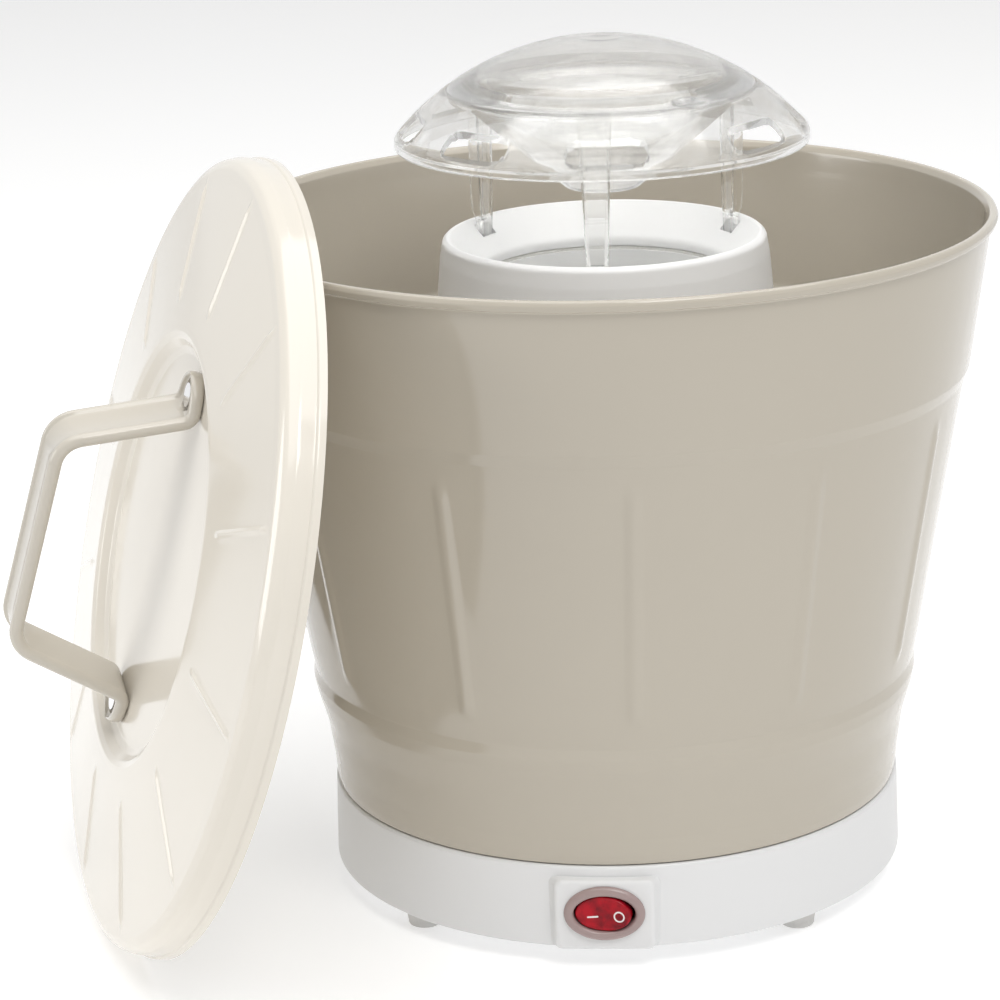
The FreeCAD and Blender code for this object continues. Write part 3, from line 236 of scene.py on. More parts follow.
def boolean(piece, cutters, operation="DIFFERENCE"):
    """Cuts or joins other pieces, which are used up, and cleans the seams."""
    for cutter in cutters:
        step = piece.modifiers.new("step", "BOOLEAN")
        step.operation = operation
        step.solver = "EXACT"
        step.object = cutter
    graph = bpy.context.evaluated_depsgraph_get()
    mesh = bpy.data.meshes.new_from_object(piece.evaluated_get(graph))
    bm = bmesh.new()
    bm.from_mesh(mesh)
    bmesh.ops.remove_doubles(bm, verts=bm.verts, dist=WELD)
    bmesh.ops.dissolve_degenerate(bm, edges=bm.edges, dist=SLIVER)
    bm.to_mesh(mesh)
    bm.free()
    piece.modifiers.clear()
    piece.data = mesh
    mesh.shade_smooth()
    mesh.set_sharp_from_angle(angle=math.radians(40))
    for cutter in cutters:
        bpy.data.objects.remove(cutter)


def bevel(node, width):
    """Rounds a CAD node's edges with a modifier, which leaves its own vertices alone."""
    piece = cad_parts[node]
    step = piece.modifiers.new("edges", "BEVEL")
    step.width = width * MM
    step.segments = 3
    step.limit_method = "ANGLE"
    step.angle_limit = math.radians(30)
    step.harden_normals = False


# ---- materials --------------------------------------------------------------------------------


def new_material(name):
    """A material with only a Principled shader on its output."""
    material = bpy.data.materials.new(name)
    material.use_nodes = True
    tree = material.node_tree
    tree.nodes.clear()
    output = tree.nodes.new("ShaderNodeOutputMaterial")
    shader = tree.nodes.new("ShaderNodeBsdfPrincipled")
    tree.links.new(shader.outputs[0], output.inputs[0])
    return material, tree, shader


def noise(tree, scale, detail, roughness=0.5, stretch=None):
    """Noise in the piece's own coordinates, which stretch squeezes along each axis."""
    place = tree.nodes.new("ShaderNodeTexCoord")
    texture = tree.nodes.new("ShaderNodeTexNoise")
    texture.inputs["Scale"].default_value = scale
    texture.inputs["Detail"].default_value = detail
    texture.inputs["Roughness"].default_value = roughness
    source = place.outputs["Object"]
    if stretch:
        mapping = tree.nodes.new("ShaderNodeMapping")
        mapping.inputs["Scale"].default_value = stretch
        tree.links.new(source, mapping.inputs[0])
        source = mapping.outputs[0]
    tree.links.new(source, texture.inputs["Vector"])
    return texture.outputs["Fac"]


def spread(tree, source, low, high):
    """Maps noise, which mostly runs from 0.3 to 0.7, to a range from low to high."""
    ramp = tree.nodes.new("ShaderNodeMapRange")
    ramp.inputs["From Min"].default_value = 0.3
    ramp.inputs["From Max"].default_value = 0.7
    ramp.inputs["To Min"].default_value = low
    ramp.inputs["To Max"].default_value = high
    tree.links.new(source, ramp.inputs["Value"])
    return ramp.outputs[0]


def tint(tree, source, colour, amount):
    """A colour that varies a little lighter and darker."""
    mix = tree.nodes.new("ShaderNodeMix")
    mix.data_type = "RGBA"
    mix.inputs["A"].default_value = (*[c * (1 - amount) for c in colour], 1)
    mix.inputs["B"].default_value = (*[min(1, c * (1 + amount)) for c in colour], 1)
    tree.links.new(source, mix.inputs["Factor"])
    return mix.outputs["Result"]


def bump(tree, shader, source, distance, strength):
    """Lets a value dent the surface by up to a distance in metres."""
    node = tree.nodes.new("ShaderNodeBump")
    node.inputs["Distance"].default_value = distance
    node.inputs["Strength"].default_value = strength
    tree.links.new(source, node.inputs["Height"])
    tree.links.new(node.outputs[0], shader.inputs["Normal"])


def plastic(name, colour, roughness, texture=2.0e-5, variation=0.02, coat=0.0):
    """Moulded plastic: faint mottling, a roughness that wanders and a fine skin."""
    material, tree, shader = new_material(name)
    patches = noise(tree, 24.0, 2.0)
    tree.links.new(tint(tree, patches, colour, variation), shader.inputs["Base Color"])
    wander = noise(tree, 60.0, 4.0, 0.6)
    tree.links.new(spread(tree, wander, roughness * 0.92, roughness * 1.1),
                   shader.inputs["Roughness"])
    bump(tree, shader, noise(tree, 900.0, 2.0), texture, 0.35)
    shader.inputs["IOR"].default_value = 1.5
    shader.inputs["Coat Weight"].default_value = coat
    shader.inputs["Coat Roughness"].default_value = 0.05
    return material


def clear(name, roughness):
    """Clear moulded plastic with the faint ripple of its flow. Alpha softens its dark lines."""
    material, tree, shader = new_material(name)
    shader.inputs["Base Color"].default_value = (1.0, 1.0, 0.99, 1)
    shader.inputs["Transmission Weight"].default_value = 1.0
    shader.inputs["IOR"].default_value = 1.42
    shader.inputs["Alpha"].default_value = 0.72
    tree.links.new(spread(tree, noise(tree, 40.0, 3.0), roughness * 0.6, roughness * 1.6),
                   shader.inputs["Roughness"])
    bump(tree, shader, noise(tree, 30.0, 2.0), 8.0e-5, 0.3)
    return material


def metal(name, colour, roughness, stretch, scale, variation=0.12, metallic=1.0):
    """Rolled or turned metal, with fine lines where its noise is stretched."""
    material, tree, shader = new_material(name)
    lines = noise(tree, scale, 4.0, 0.6, stretch)
    tree.links.new(tint(tree, lines, colour, variation), shader.inputs["Base Color"])
    tree.links.new(spread(tree, lines, roughness * 0.75, roughness * 1.3),
                   shader.inputs["Roughness"])
    shader.inputs["Metallic"].default_value = metallic
    bump(tree, shader, lines, 1.0e-5, 0.4)
    return material


def speckled(name, colour, other, roughness, scale, metallic=0.0, height=3.0e-5):
    """A matte material with a visible grain, such as rubber, mica or board."""
    material, tree, shader = new_material(name)
    grain = noise(tree, scale, 5.0, 0.7)
    mix = tree.nodes.new("ShaderNodeMix")
    mix.data_type = "RGBA"
    mix.inputs["A"].default_value = (*colour, 1)
    mix.inputs["B"].default_value = (*other, 1)
    tree.links.new(spread(tree, grain, 0.0, 1.0), mix.inputs["Factor"])
    tree.links.new(mix.outputs["Result"], shader.inputs["Base Color"])
    tree.links.new(spread(tree, grain, roughness * 0.85, roughness * 1.15),
                   shader.inputs["Roughness"])
    shader.inputs["Metallic"].default_value = metallic
    bump(tree, shader, grain, height, 0.6)
    return material


TAUPE = (0.488, 0.445, 0.372)
CREAM = (0.760, 0.715, 0.635)
HANDLE = (0.565, 0.528, 0.462)
# the base's copy of the white plastic, painted darker than the tower's copy: painted shade
SHADED_WHITE = (0.770, 0.772, 0.775)
# the tower's copy of the same white plastic, painted lighter: painted light for its place down
# inside the bucket
LIT_WHITE = (0.950, 0.950, 0.945)

MATERIALS = {
    # the base and the tower share one white plastic, in a copy painted darker (painted shade) and a
    # copy painted lighter (painted light)
    "white": plastic("white_abs", SHADED_WHITE, 0.34, 4.0e-6, 0.004),
    "tower": plastic("white_abs_painted_light", LIT_WHITE, 0.36, 4.0e-6, 0.004),
    "taupe": plastic("taupe_gloss", TAUPE, 0.13, 5.0e-6, 0.008, coat=0.25),
    "cream": plastic("cream_gloss", CREAM, 0.13, 5.0e-6, 0.008, coat=0.25),
    "handle": plastic("handle_gloss", HANDLE, 0.16, 5.0e-6, 0.010, coat=0.2),
    "clear": clear("clear_cap", 0.015),
    "clear_cone": clear("clear_dish", 0.02),
    "clear_dome": clear("clear_measure", 0.015),
    "bezel": plastic("tinted_bezel", (0.36, 0.27, 0.26), 0.22),
    "marks": plastic("switch_marks", (0.85, 0.80, 0.80), 0.35),
    "black": plastic("black_plastic", (0.025, 0.025, 0.027), 0.45, 4e-5),
    "filled": speckled("glass_filled_plastic", (0.03, 0.03, 0.032), (0.07, 0.07, 0.072), 0.55, 500),
    "rubber": speckled("foot_rubber", (0.60, 0.59, 0.57), (0.68, 0.67, 0.65), 0.6, 350),
    "zinc": metal("zinc_plate", (0.62, 0.63, 0.65), 0.40, (1, 1, 1), 260),
    "bright": metal("bright_steel", (0.80, 0.80, 0.82), 0.14, (1, 1, 1), 300, 0.05),
    "brass": metal("plated_brass", (0.80, 0.62, 0.33), 0.20, (1, 8, 1), 200),
    "bronze": speckled("sintered_bronze", (0.50, 0.34, 0.17), (0.66, 0.48, 0.26), 0.45, 900, 1.0),
    "ferrite": speckled("ferrite", (0.07, 0.07, 0.075), (0.12, 0.12, 0.12), 0.6, 700),
    "laminations": metal("laminations", (0.40, 0.36, 0.33), 0.42, (1, 1, 40), 90, 0.3),
    "motor": metal("motor_can_steel", (0.66, 0.67, 0.69), 0.20, (1, 1, 1), 150),
    "board": speckled("phenolic_board", (0.30, 0.18, 0.08), (0.42, 0.27, 0.13), 0.5, 260),
    "bracket": metal("galvanised_strip", (0.64, 0.66, 0.68), 0.42, (12, 1, 1), 60, 0.18),
    "heater": metal("aluminised_steel", (0.72, 0.72, 0.71), 0.42, (1, 1, 24), 70),
    "mica": speckled("mica_sheet", (0.52, 0.44, 0.30), (0.72, 0.65, 0.50), 0.35, 120),
    "nichrome": metal("nichrome", (0.30, 0.27, 0.26), 0.4, (1, 1, 1), 400, 0.3),
    "aluminium": metal("spun_aluminium", (0.94, 0.94, 0.93), 0.48, (1, 1, 30), 40, 0.02, 0.3),
    "fuse": metal("fuse_case", (0.78, 0.74, 0.62), 0.20, (30, 1, 1), 80),
    "felt": speckled("gasket_felt", (0.62, 0.61, 0.58), (0.74, 0.73, 0.70), 0.9, 900, 0.0, 1.5e-4),
}


def red_rocker():
    """Tinted red plastic with the darker works of the switch showing through it."""
    material, tree, shader = new_material("tinted_red")
    place = tree.nodes.new("ShaderNodeTexCoord")
    cells = tree.nodes.new("ShaderNodeTexVoronoi")
    cells.inputs["Scale"].default_value = 260.0
    tree.links.new(place.outputs["Object"], cells.inputs["Vector"])
    cloud = noise(tree, 170.0, 3.0, 0.6)
    add = tree.nodes.new("ShaderNodeMath")
    add.operation = "MULTIPLY_ADD"
    tree.links.new(cells.outputs["Distance"], add.inputs[0])
    add.inputs[1].default_value = 0.25   # how much the cells add to the cloud
    tree.links.new(cloud, add.inputs[2])
    ramp = tree.nodes.new("ShaderNodeValToRGB")
    ramp.color_ramp.elements[0].position = 0.40
    ramp.color_ramp.elements[0].color = (0.12, 0.002, 0.008, 1)
    ramp.color_ramp.elements[1].position = 0.74
    ramp.color_ramp.elements[1].color = (0.46, 0.003, 0.014, 1)
    tree.links.new(add.outputs[0], ramp.inputs[0])
    tree.links.new(ramp.outputs[0], shader.inputs["Base Color"])
    tree.links.new(spread(tree, cloud, 0.10, 0.18), shader.inputs["Roughness"])
    shader.inputs["Specular IOR Level"].default_value = 0.22
    bump(tree, shader, cloud, 2.0e-5, 0.3)
    return material


MATERIALS["red"] = red_rocker()


def dress(piece, material, body, replaces=()):
    """Gives a piece its material and body, and hides the CAD nodes it stands for."""
    piece.data.materials.clear()
    piece.data.materials.append(MATERIALS[material])
    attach(piece, body)
    if replaces:
        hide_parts(*replaces)


# ---- base -------------------------------------------------------------------------------------

BASE_R, DECK_R, FOOT_H, DECK_Z = 102.5, 101.7, 7.0, 36.4
GLAND_R, GLAND_Z = 5.7, 20.0

# the raised panel round the switch, with its rounded front edge, and the oval hole in it
PANEL_HALF, PANEL_LOW, PANEL_HIGH, PANEL_FRONT = 17.25, 7.0, 32.8, 104.8
PANEL_CORNER, PANEL_EDGE, PANEL_BACK = 2.6, 2.0, 100.2
HOLE_X, HOLE_Z = 10.4, 6.6

base = revolve("base_shell", rounded([
    (BASE_R, FOOT_H, 0.9), (DECK_R, DECK_Z, 1.4), (96.5, DECK_Z, 0.5), (96.5, 39.4, 0.7),
    (94.0, 39.4, 0.7), (94.0, DECK_Z, 0.5), (64.3, DECK_Z, 0.4), (64.3, 33.9, 0.4),
    (99.2, 33.9, 1.2), (100.0, FOOT_H, 0.5)]), around(288), MACHINE)
switch_hole = loft("well_cutter", [
    ellipse(HOLE_X + 1.4, HOLE_Z + 1.4, y, SWITCH_HEIGHT) for y in (-110.0, -92.0)], MACHINE)
gland_hole = loft("gland_cutter", [
    ellipse(GLAND_R, GLAND_R, y, GLAND_Z) for y in (95.0, 110.0)], MACHINE)
boolean(base, [switch_hole, gland_hole])
# the base shell wears the white plastic painted darker, as painted shade
dress(base, "white", "base", ["base_housing"])

middle = (PANEL_LOW + PANEL_HIGH) / 2
half_height = (PANEL_HIGH - PANEL_LOW) / 2
panel_loops = [square(PANEL_HALF + 1.6, half_height, PANEL_CORNER, -PANEL_BACK, middle=middle)]
panel_loops.append(square(PANEL_HALF + 0.5, half_height, PANEL_CORNER, -101.9, middle=middle))
for k in range(8):
    turn = math.pi / 2 * k / 7
    shrink = PANEL_EDGE * (1 - math.cos(turn))
    depth = PANEL_FRONT - PANEL_EDGE + PANEL_EDGE * math.sin(turn)
    panel_loops.append(square(PANEL_HALF - shrink, half_height - shrink,
                              PANEL_CORNER - shrink * 0.5, -depth, middle=middle))
for grow, depth in ((3.0, PANEL_FRONT), (1.3, PANEL_FRONT), (1.3, PANEL_BACK)):
    panel_loops.append(ellipse(HOLE_X + grow, HOLE_Z + grow, -depth, SWITCH_HEIGHT))
panel = loft("switch_panel", panel_loops, MACHINE, "join", 35)
dress(panel, "white", "base", ["base_housing"])

FOOT_CIRCLE = 92.0
FEET = {"foot_rear_right": 45, "foot_rear_left": 135, "foot_front_left": 225,
        "foot_front_right": 315}
for node, degrees in FEET.items():
    turn = math.radians(degrees)
    spot = (FOOT_CIRCLE * math.cos(turn), FOOT_CIRCLE * math.sin(turn), 0)
    at = MACHINE @ Matrix.Translation(spot)
    foot = revolve(node + "_turned", rounded([
        (0, 0.6, 0), (3.6, 0.6, 0.3), (4.0, 0, 0.3), (5.7, 0, 0.9), (6.5, 5.6, 0.6),
        (6.5, FOOT_H, 0.3), (0, FOOT_H, 0)], closed=False), around(64), at, closed=False)
    dress(foot, "rubber", "base", [node])

# ---- switch -----------------------------------------------------------------------------------

BEZEL_X, BEZEL_Z = 13.75, 9.7
# the ring's section, from its outer edge over its crown and down inside: (inset, y)
BEZEL_SECTION = (
    (0.0, -104.9), (0.0, -105.4), (0.15, -105.8), (0.45, -106.2), (0.9, -106.5), (1.5, -106.75),
    (2.1, -106.8), (2.6, -106.7), (2.95, -106.45), (3.2, -106.0), (3.3, -105.4), (3.35, -104.0),
    (3.35, -99.0), (2.9, -98.6), (2.0, -98.6), (2.0, -104.9))
bezel_loops = [ellipse(BEZEL_X - inset, BEZEL_Z - inset, y, SWITCH_HEIGHT)
               for inset, y in BEZEL_SECTION]
bezel = loft("switch_bezel_ring", bezel_loops, MACHINE, "join", 60)
dress(bezel, "bezel", "base", ["switch_bezel"])


ROCKER_X, ROCKER_Z = 9.6, 6.2
FACE_DEPTH, VALLEY = 2.4, 0.6
# the face from its middle out to its rounded edge: (share of the half widths, lift)
FACE_LOOPS = ((0.02, 0), (0.2, 0), (0.4, 0), (0.6, 0), (0.75, 0), (0.86, 0), (0.93, 0),
              (0.965, -0.08), (0.985, -0.3), (1.0, -0.8))


def on_face(x, z, lift):
    """A point lifted off the rocker's face, which is a soft valley in front of its pivot."""
    slope = math.tan(ROCKER_TILT)
    depth = FACE_DEPTH + slope * (math.sqrt(x * x + VALLEY * VALLEY) - VALLEY)
    return (x, -depth - lift, z)


rocker_loops = []
for share, lift in FACE_LOOPS:
    outline = ellipse(ROCKER_X * share, ROCKER_Z * share, 0)
    rocker_loops.append([on_face(x, z, lift) for x, _, z in outline])
rocker_loops.append(ellipse(ROCKER_X, ROCKER_Z, 1.6))
rocker_loops.append(ellipse(ROCKER_X - 0.6, ROCKER_Z - 0.6, 2.4))
rocker = loft("rocker_button", rocker_loops, ROCKER, "cap", 60)
dress(rocker, "red", "rocker", ["switch_rocker"])

# the off and on signs, sunk a little into the face and standing a little off it
SUNK, PROUD = -0.1, 0.08
RING_X, RING_Z, RING_OUTER, RING_INNER = 5.5, -0.5, 1.95, 1.42
BAR_X, BAR_Z, BAR_HALF, BAR_ROUND, BAR_SLANT = -3.6, -1.1, 1.6, 0.3, 0.06
ring_loops = []
for size, lift in ((RING_OUTER, SUNK), (RING_OUTER, PROUD), (RING_INNER, PROUD),
                   (RING_INNER, SUNK)):
    turns = around(48)
    ring_loops.append([on_face(RING_X + size * math.cos(a), RING_Z + size * math.sin(a), lift)
                       for a in turns])
ring = loft("mark_off", ring_loops, ROCKER, "join", 30)
dress(ring, "marks", "rocker")
bar_loops = []
for lift in (SUNK, PROUD):
    loop = []
    for turn in around(32):
        x = math.copysign(BAR_HALF, math.cos(turn)) + BAR_ROUND * math.cos(turn)
        z = BAR_Z + BAR_ROUND * math.sin(turn) + BAR_SLANT * x
        loop.append(on_face(BAR_X + x, z, lift))
    bar_loops.append(loop)
bar = loft("mark_on", bar_loops, ROCKER, "cap", 30)
dress(bar, "marks", "rocker")

# ---- tower ------------------------------------------------------------------------------------

MOUTH, BRIM = (42.8, 220.6), (54.0, 232.1)   # the funnel's low and high ends: (radius, height)
# the pockets that the cap's legs stand in
LEG_CIRCLE, POCKET_HALF, POCKET_FLOOR = 50.5, 4.05, 216.0
POCKET_INSIDE, POCKET_OUTSIDE, FUNNEL_FROM = 48.6, 52.4, 221


def leg_pocket(radius, height, turn):
    """Lets the funnel's floor down into a pocket below each leg."""
    for leg in LEG_TURNS:
        off = (turn - math.radians(leg) + math.pi) % TAU - math.pi
        near = abs(off) * LEG_CIRCLE < POCKET_HALF
        if near and POCKET_INSIDE < radius < POCKET_OUTSIDE and height > FUNNEL_FROM:
            return radius, POCKET_FLOOR
    return radius, height


# rows and turns lie close together on both sides of a pocket's walls
pocket_rows = [(r, between(r, MOUTH, BRIM), 0)
               for r in (53.0, 52.6, 52.45, 52.35, 52.0, 51.0, 50.0, 49.0, 48.65, 48.55, 48.4, 48.0)]
tower_turns = []
for leg in LEG_TURNS:
    middle_turn = math.radians(leg)
    edge = POCKET_HALF / LEG_CIRCLE
    tower_turns += [middle_turn + edge * share
                    for share in (-1.25, -1.03, -0.99, -0.5, 0, 0.5, 0.99, 1.03, 1.25)]
    start, gap = middle_turn + edge * 1.25, TAU / 3 - 2.5 * edge
    tower_turns += [start + gap * k / 80 for k in range(1, 80)]
tower = revolve("tower_shell", rounded([
    (63.9, 34.2, 0), (58.6, 213.3, 60), (57.5, 225.0, 14), (56.5, 231.0, 2.4), (54.9, 232.4, 1.3),
    (53.9, 232.0, 0.9), *pocket_rows, (*MOUTH, 3.2), (42.8, 217.7, 0.4), (44.0, 217.7, 0.4),
    (53.0, 226.6, 3), (55.4, 213.3, 30), (61.4, 34.2, 0.4)]), tower_turns, MACHINE, leg_pocket)
# the tower wears the white plastic painted lighter, as painted light
dress(tower, "tower", "base", ["chamber_tower"])

# ---- bucket -----------------------------------------------------------------------------------

RIB_COUNT, RIB_OFFSET, RIB_HALF, RIB_RISE = 12, math.radians(6.2), 3.9, 0.85
RIB_LOW, RIB_HIGH = 88, 177
WALL_LOW, WALL_HIGH = (80.5, 107.9), (183.0, 124.9)   # the outer wall's ends: (height, radius)


def bucket_skin(radius, height, turn):
    """Soft upright ridges on the outside of the bucket, between its two hoops."""
    mid_wall = 106 + (height - 78.5) * 0.1656
    if not RIB_LOW < height < RIB_HIGH or radius < mid_wall:
        return radius, height
    end = min(1.0, (height - RIB_LOW) / 5, (RIB_HIGH - height) / 7)
    return radius + ridge(turn, radius, RIB_COUNT, RIB_OFFSET, RIB_HALF, RIB_RISE * end), height


rib_rows = [(between(z, WALL_LOW, WALL_HIGH), z, 0)
            for z in (88, 89.5, 91.5, 94, 98, 110, 125, 140, 155, 166, 170, 172.5, 175, 177)]
rib_turns = around(204, RIB_COUNT, RIB_OFFSET, RIB_HALF / 116, 10)
bucket = revolve("bucket_shell", rounded([
    (101.0, 36.8, 0.5), (101.5, 40.0, 4), (102.0, 46.0, 12), (104.0, 60.0, 30), (107.4, 72.0, 6),
    (108.2, 76.5, 2.4), (107.7, 80.5, 2.5), *rib_rows, (125.0, 182.5, 3), (126.8, 187.0, 2.4),
    (133.7, 235.8, 1.0), (135.5, 236.5, 0.7), (136.0, 238.3, 1.0), (135.2, 240.0, 1.2),
    (133.2, 240.0, 1.3), (131.9, 237.8, 1.5), (131.0, 231.0, 8), (124.6, 187.0, 6),
    (122.8, 182.5, 6), (105.6, 80.0, 8), (101.8, 60.0, 25), (99.4, 42.4, 3.0),
    (67.6, 42.4, 1.2), (67.6, 50.0, 0.9), (65.4, 50.0, 0.9), (65.4, 40.2, 0.6), (99.0, 40.2, 0.8),
    (99.0, 36.8, 0.5)]), rib_turns, MACHINE, bucket_skin)
dress(bucket, "taupe", "bucket", ["bucket"])

# ---- clear cap --------------------------------------------------------------------------------

BALL, BALL_TOP = 94.3, 301.0   # the ball that the skirt and the dome follow: radius, top


def ball(radius, inset=0.0):
    """The height of the ball's surface, or of one inside it, at a radius from the axis."""
    size = BALL - inset
    return BALL_TOP - BALL + math.sqrt(size * size - radius * radius)


def arc(start, end, inset, count):
    """Corners along the ball between two radii."""
    return [(start + (end - start) * k / count, ball(start + (end - start) * k / count, inset), 0)
            for k in range(count + 1)]


skirt = revolve("dispersing_skirt", rounded([
    (71.8, 264.4, 0.6), (71.8, ball(71.8) - 0.3, 1.2), *arc(71.0, 54.6, 0, 9), (53.6, 283.9, 0.4),
    (53.4, 281.2, 0.3), (49.4, 281.2, 0.3), (49.4, 279.3, 0.3), *arc(52.6, 69.3, 1.9, 9),
    (69.9, 266.2, 0.8), (69.9, 264.4, 0.6)]), around(256), MACHINE, smooth_angle=40)


WINDOW_ANGLES = (4, 51, 98, 145, 192, 233, 274, 324)
WINDOW_HALF, WINDOW_INSIDE, WINDOW_CORNER = math.radians(11.8), 62.9, 2.2
# a window's cutter above and below the skirt: its outer radius, which is less below so that it
# leaves the skirt's rim whole, and its lift
CUTTER_ENDS = ((71.0, 3.0), (67.6, -9.0))


def window_outline(turn, outside, lift):
    """A rounded window's outline, lifted off the skirt's outer surface."""
    loop = []
    middle_r = (WINDOW_INSIDE + outside) / 2
    half_x = WINDOW_HALF * (WINDOW_INSIDE + outside) / 2
    half_r = (outside - WINDOW_INSIDE) / 2
    for x, _, z in square(half_x, half_r, WINDOW_CORNER, 0, 48):
        r = middle_r + z
        a = turn + x / middle_r
        loop.append((r * math.cos(a), r * math.sin(a), ball(r) + lift))
    return loop


holes = []
for angle in WINDOW_ANGLES:
    outlines = [window_outline(math.radians(angle), outside, lift) for outside, lift in CUTTER_ENDS]
    holes.append(loft(f"hole_{angle}", outlines, MACHINE))

LEG_TIP, LEG_TOP, LEG_INSIDE = 217.0, 280.0, 49.0
# a leg's outer radius at heights from its tip up
LEG_HEIGHTS = ((217.0, 52.0), (224.0, 52.0), (231.0, 52.0), (233.5, 52.6), (236.0, 53.3),
               (240.0, 53.6), (250.0, 53.6), (260.0, 53.6), (270.0, 53.6), (280.0, 53.6))
# the channel down the outside of a leg, with a pitched top: (y, height), and its depth
GROOVE = ((-2.3, 232.0), (2.3, 232.0), (4.1, 273.0), (0.0, 278.2), (-4.1, 273.0))
GROOVE_FROM, GROOVE_TO = 50.3, 55.0


def leg_loops():
    """A leg's outlines from its tip up: slim in its pocket, wider and deeper above it."""
    loops = []
    for height, outer in LEG_HEIGHTS:
        half = 3.1 + 2.5 * (height - LEG_TIP) / (LEG_TOP - LEG_TIP)
        middle_r, half_r = (LEG_INSIDE + outer) / 2, (outer - LEG_INSIDE) / 2
        loops.append([(middle_r + r, y, height) for y, _, r in square(half, half_r, 0.5, 0, 24)])
    return loops


legs = []
for index, leg in enumerate(LEG_TURNS):
    at = MACHINE @ Matrix.Rotation(math.radians(leg), 4, "Z")
    solid = loft(f"leg_{index}", leg_loops(), at)
    sides = [[(r, y, z) for y, z in GROOVE] for r in (GROOVE_FROM, GROOVE_TO)]
    boolean(solid, [loft(f"groove_{index}", sides, at)])
    legs.append(solid)
boolean(skirt, legs, "UNION")
boolean(skirt, holes)
dress(skirt, "clear", "cap", ["dispersing_cap"])

dish = revolve("deflector_dish", rounded([
    (0, 248.4, 0), (12.5, 248.4, 4.0), (48.6, 279.6, 1.0), (48.6, 281.3, 0.4), (53.0, 281.3, 0.3),
    (53.0, 282.6, 0.4), (47.0, 282.6, 0.4), (47.0, 280.6, 0.8), (12.0, 250.0, 3.4), (0, 250.0, 0)],
    closed=False), around(192), MACHINE, closed=False)
dress(dish, "clear_cone", "cap", ["deflector_cone"])

dome = revolve("measuring_dome", rounded([
    (0, BALL_TOP, 0), *arc(8, 52.0, 0, 16), (53.0, ball(53.0) - 0.6, 0.7), (53.0, 283.0, 0.3),
    (46.5, 283.0, 0.3), (46.5, 280.6, 0.5), (44.7, 280.6, 0.5), (44.7, ball(44.7, 2.2) - 0.8, 1.5),
    *arc(42.5, 8, 1.8, 14), (0, BALL_TOP - 1.8, 0)], closed=False),
    around(192), MACHINE, closed=False)
TAB_TURN, TAB_CIRCLE = math.radians(-55), 55.0   # the finger tab on the dome's edge
tab_spot = (TAB_CIRCLE * math.cos(TAB_TURN), TAB_CIRCLE * math.sin(TAB_TURN), 0)
tab_at = MACHINE @ Matrix.Translation(tab_spot)
tab = revolve("tab", rounded([
    (0, 284.5, 0), (6.5, 284.5, 0.8), (6.5, 286.3, 0.8), (4.2, 286.3, 0.6), (2.4, 285.4, 1.2),
    (0, 285.4, 0)], closed=False), around(48), tab_at, closed=False)
boolean(dome, [tab], "UNION")
dress(dome, "clear_dome", "dome", ["measuring_cap"])

# ---- lid --------------------------------------------------------------------------------------

RIDGE_COUNT, RIDGE_HALF, RIDGE_RISE = 12, 1.7, 0.8
RIDGE_INSIDE, RIDGE_OUTSIDE = 86, 129
SHOULDER, CREST = (133.6, 13.4), (75.5, 20.3)   # the slope's low and high ends
DISH_FLOOR = 15.6


def lid_skin(radius, height, turn):
    """Fine raised ridges that run out from the lid's crest, on its top only."""
    on_top = height >= between(radius, SHOULDER, CREST) - 1
    if not RIDGE_INSIDE < radius < RIDGE_OUTSIDE or not on_top:
        return radius, height
    end = min(1.0, (radius - RIDGE_INSIDE) / 4, (RIDGE_OUTSIDE - radius) / 4)
    return radius, height + ridge(turn, radius, RIDGE_COUNT, 0.0, RIDGE_HALF, RIDGE_RISE * end)


ridge_rows = [(r, between(r, SHOULDER, CREST), 0)
              for r in (129.0, 127.5, 125.0, 118.0, 110.0, 102.0, 94.0, 90.0, 87.5, 86.0)]
lid = revolve("lid_shell", rounded([
    (LID_RADIUS, 0, 0.6), (LID_RADIUS, 2.6, 0.9), (137.2, 3.2, 0.5), (137.0, 8.6, 3.0),
    (135.4, 12.2, 3.2), (132.4, 13.7, 4.0), *ridge_rows, (77.5, 20.1, 3), (75.2, 20.3, 1.8),
    (72.8, 19.4, 1.5), (70.6, 16.6, 1.5), (68.0, DISH_FLOOR, 2.5), (0, DISH_FLOOR, 0)],
    closed=False)
    + rounded([(0, 13.4, 0), (70.0, 13.4, 2.5), (74.6, 17.6, 2), (77.0, 17.8, 2), (132.0, 11.2, 4),
               (134.8, 8.6, 2), (135.0, 0, 0.6)], closed=False),
    around(240, RIDGE_COUNT, 0.0, RIDGE_HALF / 100, 12), LID, lid_skin, smooth_angle=60)
dress(lid, "cream", "lid", ["lid"])

# ---- lid handle -------------------------------------------------------------------------------

STRAP, STRAP_HALF, STRAP_EDGE = 4.6, 11.5, 2.1   # thickness, half width, edge radius
CHANNEL_DEPTH, STRAP_RIM = 1.2, 2.7
TIP, FOOT, GRIP, GRIP_Z = 66.5, 52.8, 38.3, 60.0
FOOT_BEND, GRIP_BEND = 4.2, 10.3
MID_FOOT = DISH_FLOOR + STRAP / 2
POCKET_AT, POCKET_R, POCKET_DEPTH = 58.5, 5.6, 2.4   # the screw's recess in each foot


def strap_path():
    """The strap's middle line, as points from one foot's tip to the other's."""
    tip = [Vector((TIP - STRAP_HALF * (1 - math.cos(math.radians(turn))), MID_FOOT))
           for turn in range(4, 76, 8)]
    bends = rounded([(TIP, MID_FOOT, 0), (FOOT, MID_FOOT, FOOT_BEND), (GRIP, GRIP_Z, GRIP_BEND),
                     (0, GRIP_Z, 0)], closed=False, reach=5.0)
    half = tip + [p for p in bends if p.x < tip[-1].x - 0.5]
    return half + [Vector((-p.x, p.y)) for p in reversed(half[:-1])]


